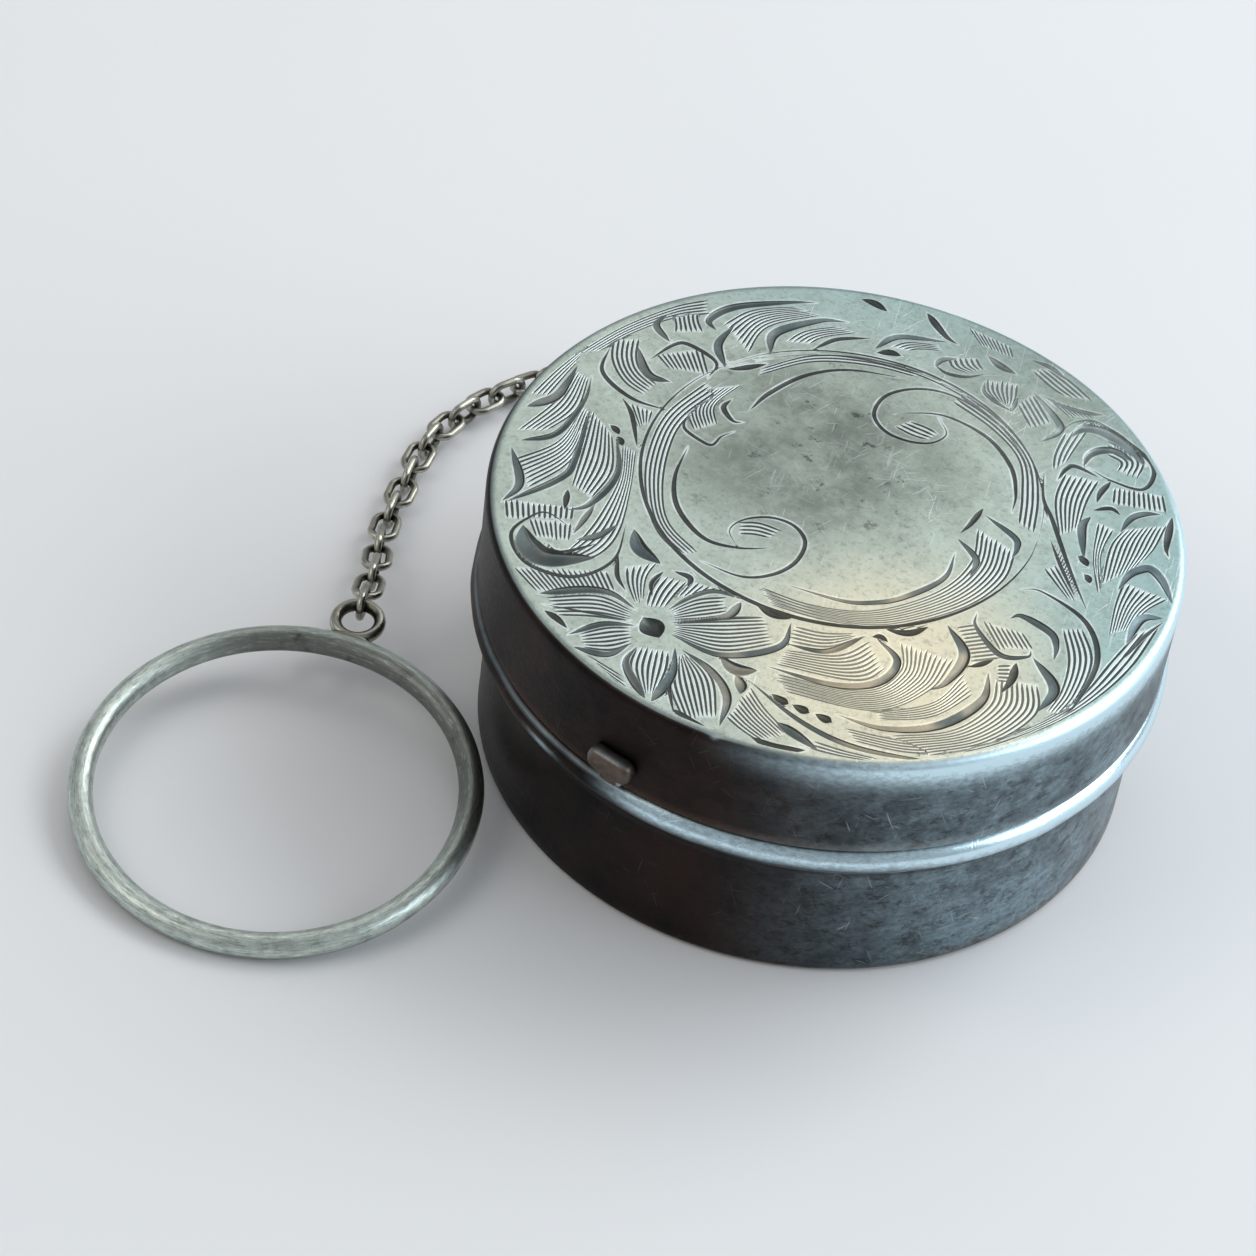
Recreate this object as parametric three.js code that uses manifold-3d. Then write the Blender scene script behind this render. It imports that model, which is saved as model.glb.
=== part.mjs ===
// Round silver powder box on a finger ring: a drawn base with a beaded rim, a hinged lid with a
// mirror inside, and a trace chain that leads from the base to a plain finger ring.
// Millimetres, +Z up. Origin: centre of the underside. Hinge at the back (+Y), thumb-piece in
// front (-Y), finger ring in front on the left.
import * as THREE from 'three';
import { mergeVertices } from 'three/addons/utils/BufferGeometryUtils.js';
import Module from 'manifold-3d';

const wasm = await Module();
wasm.setup();

// Box
const LID_RADIUS = 17.5;
const LID_DEPTH = 5.9; // lid's lower edge to its top
const RIM_HEIGHT = 9.44; // table to the rim of the base
const SHEET = 0.6; // silver sheet of base and lid
const LID_EDGE = 0.5; // rounding of the lid's top edge
const BASE_INSET = 0.6; // base wall inside the lid wall
const BASE_EDGE = 0.4; // rounding of the base's lower edge
const BASE_FILLET = 0.5; // inside, between the floor and the wall
const BEAD_RADIUS = 0.78; // half-round bead at the rim of the base
const BEAD_STEP = 0.15; // from the base wall out to the bead's flat side
const LIP_RADIUS = 0.24; // fine moulding under the bead
const LIP_TURN = 45; // degrees, how far its round face goes up and down from level

// Collar that the lid closes over
const COLLAR_SHEET = 0.45;
const COLLAR_DEPTH = 3; // below the rim
const COLLAR_RISE = 2.3; // above the rim
const COLLAR_LEAD = 0.15; // chamfer at its top edge

// Mirror in the lid
const MIRROR_THICKNESS = 1;
const BEZEL_WALL = 1.2; // bezel between glass and lid wall
const BEZEL_LIP = 0.8; // how far the bezel laps under the glass
const BEZEL_THICKNESS = 0.6;

// Hinge
const HINGE_LENGTH = 12;
const KNUCKLE_RADIUS = 0.8;
const PIN_RADIUS = 0.4;
const PIN_HEAD_RADIUS = 0.62;
const PIN_HEAD_HEIGHT = 0.3;
const LEAF_HEIGHT = 2.2; // lid leaf, above the hinge line
const LEAF_SHEET = 0.45;
const WEB = 0.65; // thickness of the web between tube and wall

// Thumb-piece: a wide pad above a narrower foot
const PAD_WIDTH = 2.6;
const PAD_HEIGHT = 1.35;
const PAD_PROUD = 0.85; // off the lid wall
const PAD_ROUND = 0.32;
const FOOT_WIDTH = 1.5;
const FOOT_HEIGHT = 0.9;
const FOOT_PROUD = 0.5;
const FOOT_ROUND = 0.2;
const FOOT_ABOVE_RIM = 0.12; // over the lid's lower edge

// Finger ring, lying beside the box with the side at its eye a little raised
const RING_RADIUS = 9.75; // to the middle of the wire
const RING_WIRE = 1.3;
const RING_BEARING = 234.75; // degrees, from the box's axis to the ring's middle
const RING_GAP = 0.77; // from the base wall to the ring
const RING_TILT = 5.5; // degrees
const RING_UPHILL = 102.5; // degrees, the direction in which the ring rises
const RING_EYE_RADIUS = 1.15;
const RING_EYE_WIRE = 0.62;
const RING_EYE_ANGLE = 110; // degrees, round the ring
const RING_EYE_SINK = 0.25; // how far the eye's wire is let into the ring

// Eye on the base wall
const BOX_EYE_RADIUS = 1;
const BOX_EYE_WIRE = 0.6;
const BOX_EYE_ANGLE = 113; // degrees, round the box
const BOX_EYE_HEIGHT = 4.2;
const BOX_EYE_SINK = 0.2;

// Chain
const LINK_WIRE = 0.42;
const LINK_INSIDE = 1.66; // inside length of a link
const LINK_OPENING = 0.86; // inside width of a link
const LINK_LIFT = 0.03; // upright links clear the table by this much
const LINK_COUNT = 32; // even, so that the first link lies flat and the last one stands upright
// Bends of its route: azimuth in degrees, share of its reach from the base wall, and share of the
// eye's height.
const BENDS_FROM_BOX = [[117, 0.46, 0.67], [124, 0.72, 0.22]];
const BENDS_ON_TABLE = [[136, 0.9], [149, 0.99], [162.5, 1], [173, 0.94], [183, 0.79]];
const BENDS_TO_RING = [[191.5, 0.69, 0.15], [199, 0.6, 0.56]];

// Clearances
const SOLDERED = 0.03; // between pieces that are soldered together
const LID_SEAT = 0.06; // lid over the rim
const LID_SLIP = 0.16; // lid round the collar
const MIRROR_SEAT = 0.05; // glass and bezel in the lid
const PIN_FIT = 0.06; // pin in its knuckles
const KNUCKLE_GAP = 0.12; // knuckle to knuckle
const LINK_PLAY = 0.11; // wire to wire

// Fineness of the curved surfaces
const ROUND_SIDES = 48;
const ARC_STEPS = 5;
const TUBE_SIDES = 16;
const LINK_STEPS = 14;
const WIRE_SIDES = 6;
const RING_SIDES = 8;
const WELD = 1e-5;

const degrees = THREE.MathUtils.degToRad;
const up = new THREE.Vector3(0, 0, 1);

// Points of an arc round (r, z), from one angle to another, in degrees.
function arc(r, z, radius, from, to) {
  return Array.from({ length: ARC_STEPS + 1 }, (_, i) => {
    const angle = degrees(from + ((to - from) * i) / ARC_STEPS);
    return [r + radius * Math.cos(angle), z + radius * Math.sin(angle)];
  });
}

// Turns an [r, z] outline about the Z axis. The outline runs counterclockwise, r to the right.
function turned(outline, sides = ROUND_SIDES) {
  const points = outline.map(([r, z]) => new THREE.Vector2(r, z));
  return new THREE.LatheGeometry(points, sides).rotateX(Math.PI / 2);
}

// A closed section, so that the turned body is a ring.
function turnedRing(outline, sides) {
  return turned([...outline, outline[0]], sides);
}

function cylinder(radius, low, high, sides = ROUND_SIDES) {
  return turned([[0, low], [radius, low], [radius, high], [0, high]], sides);
}

// A bar along X with the given reach in Y and Z.
function bar(x0, x1, y0, y1, z0, z1) {
  const box = new THREE.BoxGeometry(x1 - x0, y1 - y0, z1 - z0);
  return box.translate((x0 + x1) / 2, (y0 + y1) / 2, (z0 + z1) / 2);
}

function toSolid(geometry) {
  const bare = new THREE.BufferGeometry();
  bare.setAttribute('position', geometry.getAttribute('position').clone());
  bare.setIndex(geometry.getIndex());
  const welded = mergeVertices(bare, WELD);
  const corners = welded.getIndex().array;
  const triangles = [];
  for (let i = 0; i < corners.length; i += 3) {
    const [a, b, c] = corners.slice(i, i + 3);
    if (a !== b && b !== c && c !== a) triangles.push(a, b, c);
  }
  const mesh = new wasm.Mesh({
    numProp: 3,
    vertProperties: Float32Array.from(welded.getAttribute('position').array),
    triVerts: Uint32Array.from(triangles),
  });
  return new wasm.Manifold(mesh);
}

function toGeometry(solid) {
  const mesh = solid.getMesh();
  const geometry = new THREE.BufferGeometry();
  geometry.setAttribute('position', new THREE.BufferAttribute(mesh.vertProperties, 3));
  geometry.setIndex(new THREE.BufferAttribute(mesh.triVerts, 1));
  geometry.computeVertexNormals();
  return geometry;
}

// Joins some geometries and cuts others away from the whole.
function carved(joined, cut) {
  const whole = joined.map(toSolid).reduce((a, b) => a.add(b));
  return toGeometry(cut.map(toSolid).reduce((a, b) => a.subtract(b), whole));
}

const silver = (name, color, roughness) =>
  new THREE.MeshStandardMaterial({ name, color, roughness, metalness: 1 });
const brightSilver = silver('bright_silver', 0xb9c0b4, 0.35);
const agedSilver = silver('aged_silver', 0x6f6b62, 0.45);
const innerSilver = silver('inner_silver', 0xc9c6bc, 0.4);
const chainSilver = silver('chain_silver', 0xa8a49a, 0.4);
const mirrorGlass = silver('mirror_glass', 0xdfe5e6, 0.04);

const part = new THREE.Group();
part.name = 'powder_box';

function place(name, geometry, material) {
  const mesh = new THREE.Mesh(geometry, material);
  mesh.name = name;
  part.add(mesh);
  return mesh;
}

const baseRadius = LID_RADIUS - BASE_INSET;
const boxHeight = RIM_HEIGHT + LID_SEAT + LID_DEPTH;

// Base: outside from the middle of the underside up to the rim, then down the inside.
const baseInside = baseRadius - SHEET;
const beadCentre = RIM_HEIGHT - BEAD_RADIUS;
const lipCentre = beadCentre - BEAD_RADIUS - LIP_RADIUS;

function baseOutside(grow) {
  return [
    [0, -grow],
    ...arc(baseRadius - BASE_EDGE, BASE_EDGE, BASE_EDGE + grow, -90, 0),
    [baseRadius + grow, lipCentre - LIP_RADIUS - grow],
    ...arc(baseRadius, lipCentre, LIP_RADIUS + grow, -LIP_TURN, LIP_TURN),
    ...arc(baseRadius + BEAD_STEP, beadCentre, BEAD_RADIUS + grow, -90, 90),
  ];
}

const baseOutline = [
  ...baseOutside(0),
  [baseInside, RIM_HEIGHT],
  ...arc(baseInside - BASE_FILLET, SHEET + BASE_FILLET, BASE_FILLET, 0, -90),
  [0, SHEET],
];
place('base_cup', turned(baseOutline), agedSilver);

// Collar: soldered inside the base below the rim, set out above it to guide the lid.
const lidInside = LID_RADIUS - SHEET;
const collarLow = baseInside - SOLDERED;
const collarHigh = lidInside - LID_SLIP;
const collarSeat = RIM_HEIGHT + SOLDERED;
const collarTop = RIM_HEIGHT + COLLAR_RISE;
const collarOutline = [
  [collarLow - COLLAR_SHEET, RIM_HEIGHT - COLLAR_DEPTH],
  [collarLow, RIM_HEIGHT - COLLAR_DEPTH],
  [collarLow, collarSeat],
  [collarHigh, collarSeat],
  [collarHigh, collarTop - COLLAR_LEAD],
  [collarHigh - COLLAR_LEAD, collarTop],
  [collarHigh - COLLAR_SHEET, collarTop],
  [collarHigh - COLLAR_SHEET, collarSeat + COLLAR_SHEET],
  [collarLow - COLLAR_SHEET, collarSeat],
];
place('inner_collar', turnedRing(collarOutline), innerSilver);

// Lid: outside from the middle of the top down to the rim, seen from below the other way round.
const lidRim = RIM_HEIGHT + LID_SEAT;
const lidCeiling = boxHeight - SHEET;
const lidOutline = [
  [0, lidCeiling],
  [lidInside, lidCeiling],
  [lidInside, lidRim],
  [LID_RADIUS, lidRim],
  ...arc(LID_RADIUS - LID_EDGE, boxHeight - LID_EDGE, LID_EDGE, 0, 90),
  [0, boxHeight],
];
place('lid_shell', turned(lidOutline), brightSilver);

// Mirror and the bezel that holds it under the lid's ceiling.
const mirrorRadius = lidInside - BEZEL_WALL - 2 * MIRROR_SEAT;
const mirrorBack = lidCeiling - MIRROR_SEAT;
const mirrorFace = mirrorBack - MIRROR_THICKNESS;
place('mirror', cylinder(mirrorRadius, mirrorFace, mirrorBack), mirrorGlass);

const bezelOuter = lidInside - MIRROR_SEAT;
const bezelSeat = mirrorFace - MIRROR_SEAT;
const bezelInner = mirrorRadius - BEZEL_LIP;
const bezelOutline = [
  [bezelInner, bezelSeat - BEZEL_THICKNESS / 2],
  [bezelInner + BEZEL_THICKNESS / 2, bezelSeat - BEZEL_THICKNESS],
  [bezelOuter, bezelSeat - BEZEL_THICKNESS],
  [bezelOuter, mirrorBack],
  [mirrorRadius + MIRROR_SEAT, mirrorBack],
  [mirrorRadius + MIRROR_SEAT, bezelSeat],
  [bezelInner, bezelSeat],
];
place('mirror_bezel', turnedRing(bezelOutline), innerSilver);

// Hinge: five tubes in a row, the odd ones on the base and the even ones on the lid.
const KNUCKLES = 5;
const hingeY = baseRadius + BEAD_STEP + BEAD_RADIUS + KNUCKLE_RADIUS;
const hingeZ = RIM_HEIGHT + LID_SEAT / 2;
const knuckleLength = (HINGE_LENGTH - (KNUCKLES - 1) * KNUCKLE_GAP) / KNUCKLES;

// A round bar along the hinge line.
function along(radius, x0, x1) {
  return cylinder(radius, x0, x1, TUBE_SIDES).rotateY(Math.PI / 2).translate(0, hingeY, hingeZ);
}

const knuckleNames = [
  'base_knuckle_left',
  'lid_knuckle_left',
  'base_knuckle_middle',
  'lid_knuckle_right',
  'base_knuckle_right',
];
const bore = along(PIN_RADIUS + PIN_FIT, -HINGE_LENGTH, HINGE_LENGTH);
const baseSeat = turned([...baseOutside(SOLDERED), [0, RIM_HEIGHT + SOLDERED]]);
const lidSeat = cylinder(LID_RADIUS + SOLDERED, 0, 2 * boxHeight);
const lidLeaf = cylinder(LID_RADIUS + SOLDERED + LEAF_SHEET, 0, 2 * boxHeight);
knuckleNames.forEach((name, i) => {
  const x0 = -HINGE_LENGTH / 2 + i * (knuckleLength + KNUCKLE_GAP);
  const x1 = x0 + knuckleLength;
  const tube = along(KNUCKLE_RADIUS, x0, x1);
  if (i % 2 === 0) {
    const low = hingeZ - KNUCKLE_RADIUS;
    const web = bar(x0, x1, 0.8 * baseRadius, hingeY, low, low + WEB);
    place(name, carved([tube, web], [baseSeat, bore]), agedSilver);
  } else {
    const high = hingeZ + KNUCKLE_RADIUS;
    const web = bar(x0, x1, 0.8 * LID_RADIUS, hingeY, high - WEB, high);
    const strap = bar(x0, x1, 0.8 * LID_RADIUS, hingeY, high - WEB, hingeZ + LEAF_HEIGHT);
    const leaf = toGeometry(toSolid(strap).intersect(toSolid(lidLeaf)));
    place(name, carved([tube, web, leaf], [lidSeat, bore]), agedSilver);
  }
});

const pinEnd = HINGE_LENGTH / 2 + SOLDERED;
const pinOutline = [
  [0, -pinEnd - PIN_HEAD_HEIGHT],
  [PIN_HEAD_RADIUS * 0.6, -pinEnd - PIN_HEAD_HEIGHT],
  [PIN_HEAD_RADIUS, -pinEnd],
  [PIN_RADIUS, -pinEnd],
  [PIN_RADIUS, pinEnd],
  [PIN_HEAD_RADIUS, pinEnd],
  [PIN_HEAD_RADIUS * 0.6, pinEnd + PIN_HEAD_HEIGHT],
  [0, pinEnd + PIN_HEAD_HEIGHT],
];
const pin = turned(pinOutline, TUBE_SIDES).rotateY(Math.PI / 2).translate(0, hingeY, hingeZ);
place('hinge_pin', pin, innerSilver);

// Thumb-piece: two rounded pads, one over the other, cut to the lid's wall.
function pad(width, height, proud, round, middle) {
  const reach = width / 2 - round;
  const half = height / 2 - round;
  const face = new THREE.Shape();
  face.moveTo(-reach + round, -half);
  face.lineTo(reach - round, -half);
  face.quadraticCurveTo(reach, -half, reach, -half + round);
  face.lineTo(reach, half - round);
  face.quadraticCurveTo(reach, half, reach - round, half);
  face.lineTo(-reach + round, half);
  face.quadraticCurveTo(-reach, half, -reach, half - round);
  face.lineTo(-reach, -half + round);
  face.quadraticCurveTo(-reach, -half, -reach + round, -half);
  const block = new THREE.ExtrudeGeometry(face, {
    depth: LID_RADIUS / 4,
    curveSegments: 3,
    bevelThickness: round,
    bevelSize: round,
    bevelSegments: 3,
  });
  const back = -LID_RADIUS - proud + round + LID_RADIUS / 4;
  return block.rotateX(Math.PI / 2).translate(0, back, middle);
}

const footLow = lidRim + FOOT_ABOVE_RIM;
const footHigh = footLow + FOOT_HEIGHT;
const foot = pad(FOOT_WIDTH, FOOT_HEIGHT, FOOT_PROUD, FOOT_ROUND, (footLow + footHigh) / 2);
const padLow = footHigh - FOOT_ROUND;
const thumbPad = pad(PAD_WIDTH, PAD_HEIGHT, PAD_PROUD, PAD_ROUND, padLow + PAD_HEIGHT / 2);
place('thumb_piece', carved([foot, thumbPad], [lidSeat]), agedSilver);

// Finger ring: lies on the table, raised towards its eye.
const uphill = degrees(RING_UPHILL);
const tilt = degrees(RING_TILT);
const ringHeight = RING_WIRE / 2 + RING_RADIUS * Math.sin(tilt);
const ringTurn = new THREE.Matrix4().makeRotationAxis(
  new THREE.Vector3(Math.sin(uphill), -Math.cos(uphill), 0),
  tilt,
);
const ringOut = baseRadius + RING_GAP + RING_RADIUS + RING_WIRE / 2;
const ringMiddle = new THREE.Vector3(ringOut, 0, ringHeight).applyAxisAngle(up, degrees(RING_BEARING));
const ringPlace = new THREE.Matrix4().setPosition(ringMiddle).multiply(ringTurn);
const eyeOut = RING_RADIUS + RING_WIRE / 2 + RING_EYE_RADIUS + RING_EYE_WIRE / 2 - RING_EYE_SINK;
const eyeAngle = degrees(RING_EYE_ANGLE);
const eyeMiddle = new THREE.Vector3(Math.cos(eyeAngle), Math.sin(eyeAngle), 0).multiplyScalar(eyeOut);
const ring = new THREE.TorusGeometry(RING_RADIUS, RING_WIRE / 2, RING_SIDES, ROUND_SIDES);
place('finger_ring', ring.clone().applyMatrix4(ringPlace), chainSilver);

const ringSeat = new THREE.TorusGeometry(
  RING_RADIUS,
  RING_WIRE / 2 + SOLDERED,
  RING_SIDES,
  ROUND_SIDES,
);
const ringEye = new THREE.TorusGeometry(RING_EYE_RADIUS, RING_EYE_WIRE / 2, RING_SIDES, TUBE_SIDES);
ringEye.translate(eyeMiddle.x, eyeMiddle.y, eyeMiddle.z);
place('ring_eye', carved([ringEye], [ringSeat]).applyMatrix4(ringPlace), chainSilver);

// Eye on the base: stands out from the wall in an upright plane.
const boxEyeAngle = degrees(BOX_EYE_ANGLE);
const boxEyeOut = baseRadius + BOX_EYE_RADIUS + BOX_EYE_WIRE / 2 - BOX_EYE_SINK;
const boxEye = new THREE.TorusGeometry(BOX_EYE_RADIUS, BOX_EYE_WIRE / 2, RING_SIDES, TUBE_SIDES);
boxEye.rotateX(Math.PI / 2).translate(boxEyeOut, 0, BOX_EYE_HEIGHT).rotateZ(boxEyeAngle);
place('chain_eye', carved([boxEye], [baseSeat]), agedSilver);

// Chain route: down from the base's eye, along the table round the box, up to the ring's eye.
const lying = (LINK_OPENING + 2 * LINK_WIRE) / 2 + LINK_LIFT;
const eyeCentre = eyeMiddle.clone().applyMatrix4(ringPlace);
const ringNormal = up.clone().transformDirection(ringPlace);
const firstHook = new THREE.Vector3(boxEyeOut + BOX_EYE_RADIUS, 0, BOX_EYE_HEIGHT);
firstHook.applyAxisAngle(up, boxEyeAngle);

function routeWith(reach) {
  const bend = ([azimuth, share, rise = 0], eyeHeight) => {
    const height = lying + rise * (eyeHeight - lying);
    const point = new THREE.Vector3(baseRadius + share * reach, 0, height);
    return point.applyAxisAngle(up, degrees(azimuth));
  };
  const bends = [
    ...BENDS_FROM_BOX.map((row) => bend(row, BOX_EYE_HEIGHT)),
    ...BENDS_ON_TABLE.map((row) => bend(row, lying)),
    ...BENDS_TO_RING.map((row) => bend(row, eyeCentre.z)),
  ];
  const pull = bends[bends.length - 1].clone().sub(eyeCentre).projectOnPlane(ringNormal);
  const lastHook = eyeCentre.clone().add(pull.setLength(RING_EYE_RADIUS));
  const curve = new THREE.CatmullRomCurve3([firstHook, ...bends, lastHook]);
  curve.arcLengthDivisions = 1000;
  return curve;
}

// Each end link wraps its eye's wire. The chain's length sets how far out it lies.
const pitch = LINK_INSIDE - LINK_PLAY;
const firstAt = LINK_INSIDE / 2 - BOX_EYE_WIRE / 2 - LINK_PLAY;
const lastAt = firstAt + (LINK_COUNT - 1) * pitch;
const chainLength = lastAt + LINK_INSIDE / 2 - RING_EYE_WIRE / 2 - LINK_PLAY;
let nearReach = 0;
let farReach = chainLength;
for (let i = 0; i < 40; i += 1) {
  const middle = (nearReach + farReach) / 2;
  if (routeWith(middle).getLength() < chainLength) nearReach = middle;
  else farReach = middle;
}
const route = routeWith(nearReach);

// Middle line of a link: two straight sides joined by half circles, in the XY plane.
class LinkPath extends THREE.Curve {
  getPoint(t, target = new THREE.Vector3()) {
    const bend = (LINK_OPENING + LINK_WIRE) / 2;
    const straight = LINK_INSIDE + LINK_WIRE - 2 * bend;
    const quarter = (Math.PI * bend) / 2;
    const whole = 4 * quarter + 2 * straight;
    const at = (t % 1) * whole;
    if (at <= quarter) return this.onBend(target, at / bend, 1, straight, bend);
    if (at <= quarter + straight) return target.set(straight / 2 - (at - quarter), bend, 0);
    if (at <= 3 * quarter + straight) {
      return this.onBend(target, (at - straight) / bend, -1, straight, bend);
    }
    if (at <= 3 * quarter + 2 * straight) {
      return target.set(at - 3 * quarter - 1.5 * straight, -bend, 0);
    }
    return this.onBend(target, (at - 2 * straight) / bend, 1, straight, bend);
  }

  onBend(target, angle, side, straight, bend) {
    return target.set(
      (side * straight) / 2 + bend * Math.cos(angle),
      bend * Math.sin(angle),
      0,
    );
  }
}
const link = new THREE.TubeGeometry(new LinkPath(), LINK_STEPS, LINK_WIRE / 2, WIRE_SIDES, true);

// Odd links lie flat and even links stand upright, so each turns a quarter against its neighbours.
for (let i = 0; i < LINK_COUNT; i += 1) {
  const t = (firstAt + i * pitch) / route.getLength();
  const length = route.getTangentAt(t);
  const across = new THREE.Vector3().crossVectors(up, length).normalize();
  const over = new THREE.Vector3().crossVectors(length, across);
  const axes = new THREE.Matrix4().makeBasis(length, across, over);
  if (i % 2 === 1) axes.makeBasis(length, over, across.negate());
  axes.setPosition(route.getPointAt(t));
  const name = `chain_link_${String(i + 1).padStart(2, '0')}`;
  place(name, link.clone().applyMatrix4(axes), chainSilver);
}

export default part;
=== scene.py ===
"""Small round silver powder box on a finger ring, with a bright-cut engraved lid.

Lengths are written in millimetres and turned into metres where a mesh is made.
"""

import math
from collections import namedtuple

import bmesh
import bpy
import numpy as np
from mathutils import Matrix, Vector


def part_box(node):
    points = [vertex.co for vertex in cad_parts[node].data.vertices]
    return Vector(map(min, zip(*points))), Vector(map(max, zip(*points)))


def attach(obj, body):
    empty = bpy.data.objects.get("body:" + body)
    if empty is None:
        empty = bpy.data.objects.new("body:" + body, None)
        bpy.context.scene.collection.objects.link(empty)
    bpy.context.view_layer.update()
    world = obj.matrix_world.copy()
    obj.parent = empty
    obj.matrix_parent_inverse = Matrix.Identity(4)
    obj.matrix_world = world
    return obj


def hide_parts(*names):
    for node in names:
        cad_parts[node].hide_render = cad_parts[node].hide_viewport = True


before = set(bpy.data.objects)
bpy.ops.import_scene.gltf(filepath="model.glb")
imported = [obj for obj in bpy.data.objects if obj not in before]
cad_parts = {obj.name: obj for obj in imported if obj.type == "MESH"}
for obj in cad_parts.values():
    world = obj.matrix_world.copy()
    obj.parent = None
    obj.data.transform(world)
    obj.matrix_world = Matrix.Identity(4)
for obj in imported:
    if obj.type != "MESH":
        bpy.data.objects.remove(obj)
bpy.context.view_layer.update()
MM = 0.001

# Camera, fitted to the photograph
CAMERA_PLACE = (67.21, -125.56, 144.04)
CAMERA_AZIMUTH = 32.0
CAMERA_ELEVATION = 44.314
CAMERA_ROLL = 7.777
LENS = 110.83
SENSOR = 36.0


def box_of(node):
    """The lowest and the highest corner of a CAD node's box, in mm."""
    return [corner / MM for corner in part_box(node)]


# Box, from the frame
lid_low, lid_high = box_of("lid_shell")
_, base_high = box_of("base_cup")
LID_RADIUS = lid_high.x
LID_TOP = lid_high.z
LID_RIM = lid_low.z
BASE_RIM = base_high.z
SHEET = 0.6
COLLAR_SHEET = 0.45
LID_EDGE = 0.5
BASE_EDGE = 0.4
BASE_FILLET = 0.5
BEAD_RADIUS = 0.78
BEAD_STEP = 0.15
LIP_RADIUS = 0.24
BASE_RADIUS = base_high.x - BEAD_RADIUS - BEAD_STEP
DENT_PLACE = (-4.9, -16.6)
HINGE_ROUNDING = 0.05
RUBBED_GRAIN = 0.05  # size of the cubes that the thumb-piece is rubbed smooth from
RUBS = 140

# Sides of what is turned or drawn
MIDDLE_SIDES = 52  # the lid's top starts with these, and doubles them outward
WALL_SIDES = 208
SOLDER_SIDES = 24
RING_SIDES = 20
EYE_SIDES = 16
LINK_SIDES = 12

# Chain and ring wire
LINK_WIRE = 0.42
LINK_INSIDE = 1.66
LINK_OPENING = 0.86
RING_WIRE = 1.3
BOX_EYE_RADIUS, BOX_EYE_WIRE = 1.0, 0.6
RING_EYE_RADIUS, RING_EYE_WIRE = 1.15, 0.62
EYE_TALL = 1.2  # the height of an eye's wire, of its width

# The engraving is drawn as the photograph shows the lid, and turned with the camera.
ENGRAVING_TURN = math.radians(CAMERA_AZIMUTH)
ENGRAVED_STEP = 0.11
ENGRAVED_ARC = 0.13
CUT_DEPTH = 0.1  # of its width
FACET_FROM = 0.32  # a leaning cut that is wider than this shows a facet
HATCH_PITCH = 0.27  # between fine lines, where a hatch is widest
LINES_APART = 40  # the line numbers of one hatch start so far from those of the next

# Engraving: a cut is one stroke of the graver, which swells to its width at a share of its length.
# Its lean says to which side of the stroke the deep edge falls.
Cut = namedtuple("Cut", "width peak lean points")
# A hatch is a set of fine lines that fill the space from one line to another.
Hatch = namedtuple("Hatch", "first last")


def arc(x, y, radius, start, end, count):
    """Points of an arc, from one angle to another in degrees."""
    angles = np.radians(np.linspace(start, end, count))
    return [(x + radius * math.cos(a), y + radius * math.sin(a)) for a in angles]


FIELD_X, FIELD_Y, FIELD_RADIUS = 0.1, 2.0, 10.15
FIELD_CUTS = [
    Cut(0.27, 0.55, 0, arc(FIELD_X, FIELD_Y, FIELD_RADIUS, 128, 352, 18)),
    Cut(0.16, 0.5, 0, arc(FIELD_X, FIELD_Y, FIELD_RADIUS, 131, -12, 11)),
    Cut(0.12, 0.5, 0, arc(FIELD_X, FIELD_Y, FIELD_RADIUS - 0.35, 120, 10, 9)),
    Cut(0.3, 0.5, 0.3, [(-7.8, 3.2), (-8.25, 0.8), (-7.9, -1.4), (-6.5, -3.3), (-4.8, -3.7), (-3.1, -3.4)]),
    Cut(0.24, 0.6, 0.2, [
        (-4.8, -3.65), (-5.25, -2.5), (-4.6, -1.6), (-3.3, -1.2), (-2.1, -1.6), (-1.5, -2.7),
        (-1.9, -4.2), (-3, -5.3), (-4.5, -5.7), (-6.5, -5),
    ]),
    Cut(0.36, 0.65, -0.3, [(-2.2, -5.85), (0.5, -6.4), (2, -6.25), (3.5, -5.6), (5.4, -3.9), (5.9, -2)]),
    Cut(0.4, 0.5, 0.4, [(6, -0.9), (6.95, -2.2), (6.7, -3.5)]),
    Cut(0.32, 0.35, 0.3, [(7.2, 1.6), (6.6, 0.3), (6.1, -0.5)]),
    Cut(0.4, 0.55, 0.4, [(7.3, 1.1), (8.8, -0.2), (8.95, -1), (8.7, -1.8)]),
    Cut(0.26, 0.3, 0.3, [(8.65, 1.6), (8.8, 3), (8.5, 5), (7.2, 7), (5, 8.2), (3, 8), (2.5, 7.8)]),
    Cut(0.22, 0.4, -0.3, [
        (4.7, 8), (5.15, 6.8), (4.4, 5.95), (3.2, 5.85), (2, 6.4), (1.4, 7.6), (1.9, 9.1),
        (3.2, 9.95), (4.8, 10.05), (6.5, 9.2), (8.6, 7.2),
    ]),
    Cut(0.28, 0.8, 0.3, [(2.9, 10.75), (0, 10.8), (-2.2, 9.9), (-4, 8.1), (-4.9, 6.6)]),
    Cut(0.32, 0.4, 0.3, [(-5.9, 7.2), (-6.25, 6.5), (-5.7, 5.6), (-5.2, 5.6)]),
    Cut(0.22, 0.4, 0.3, [(-8, 5.6), (-8.1, 4.6), (-7.2, 3.8), (-6.6, 3.6), (-6.2, 4.3), (-5.6, 4.8)]),
]
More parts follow.
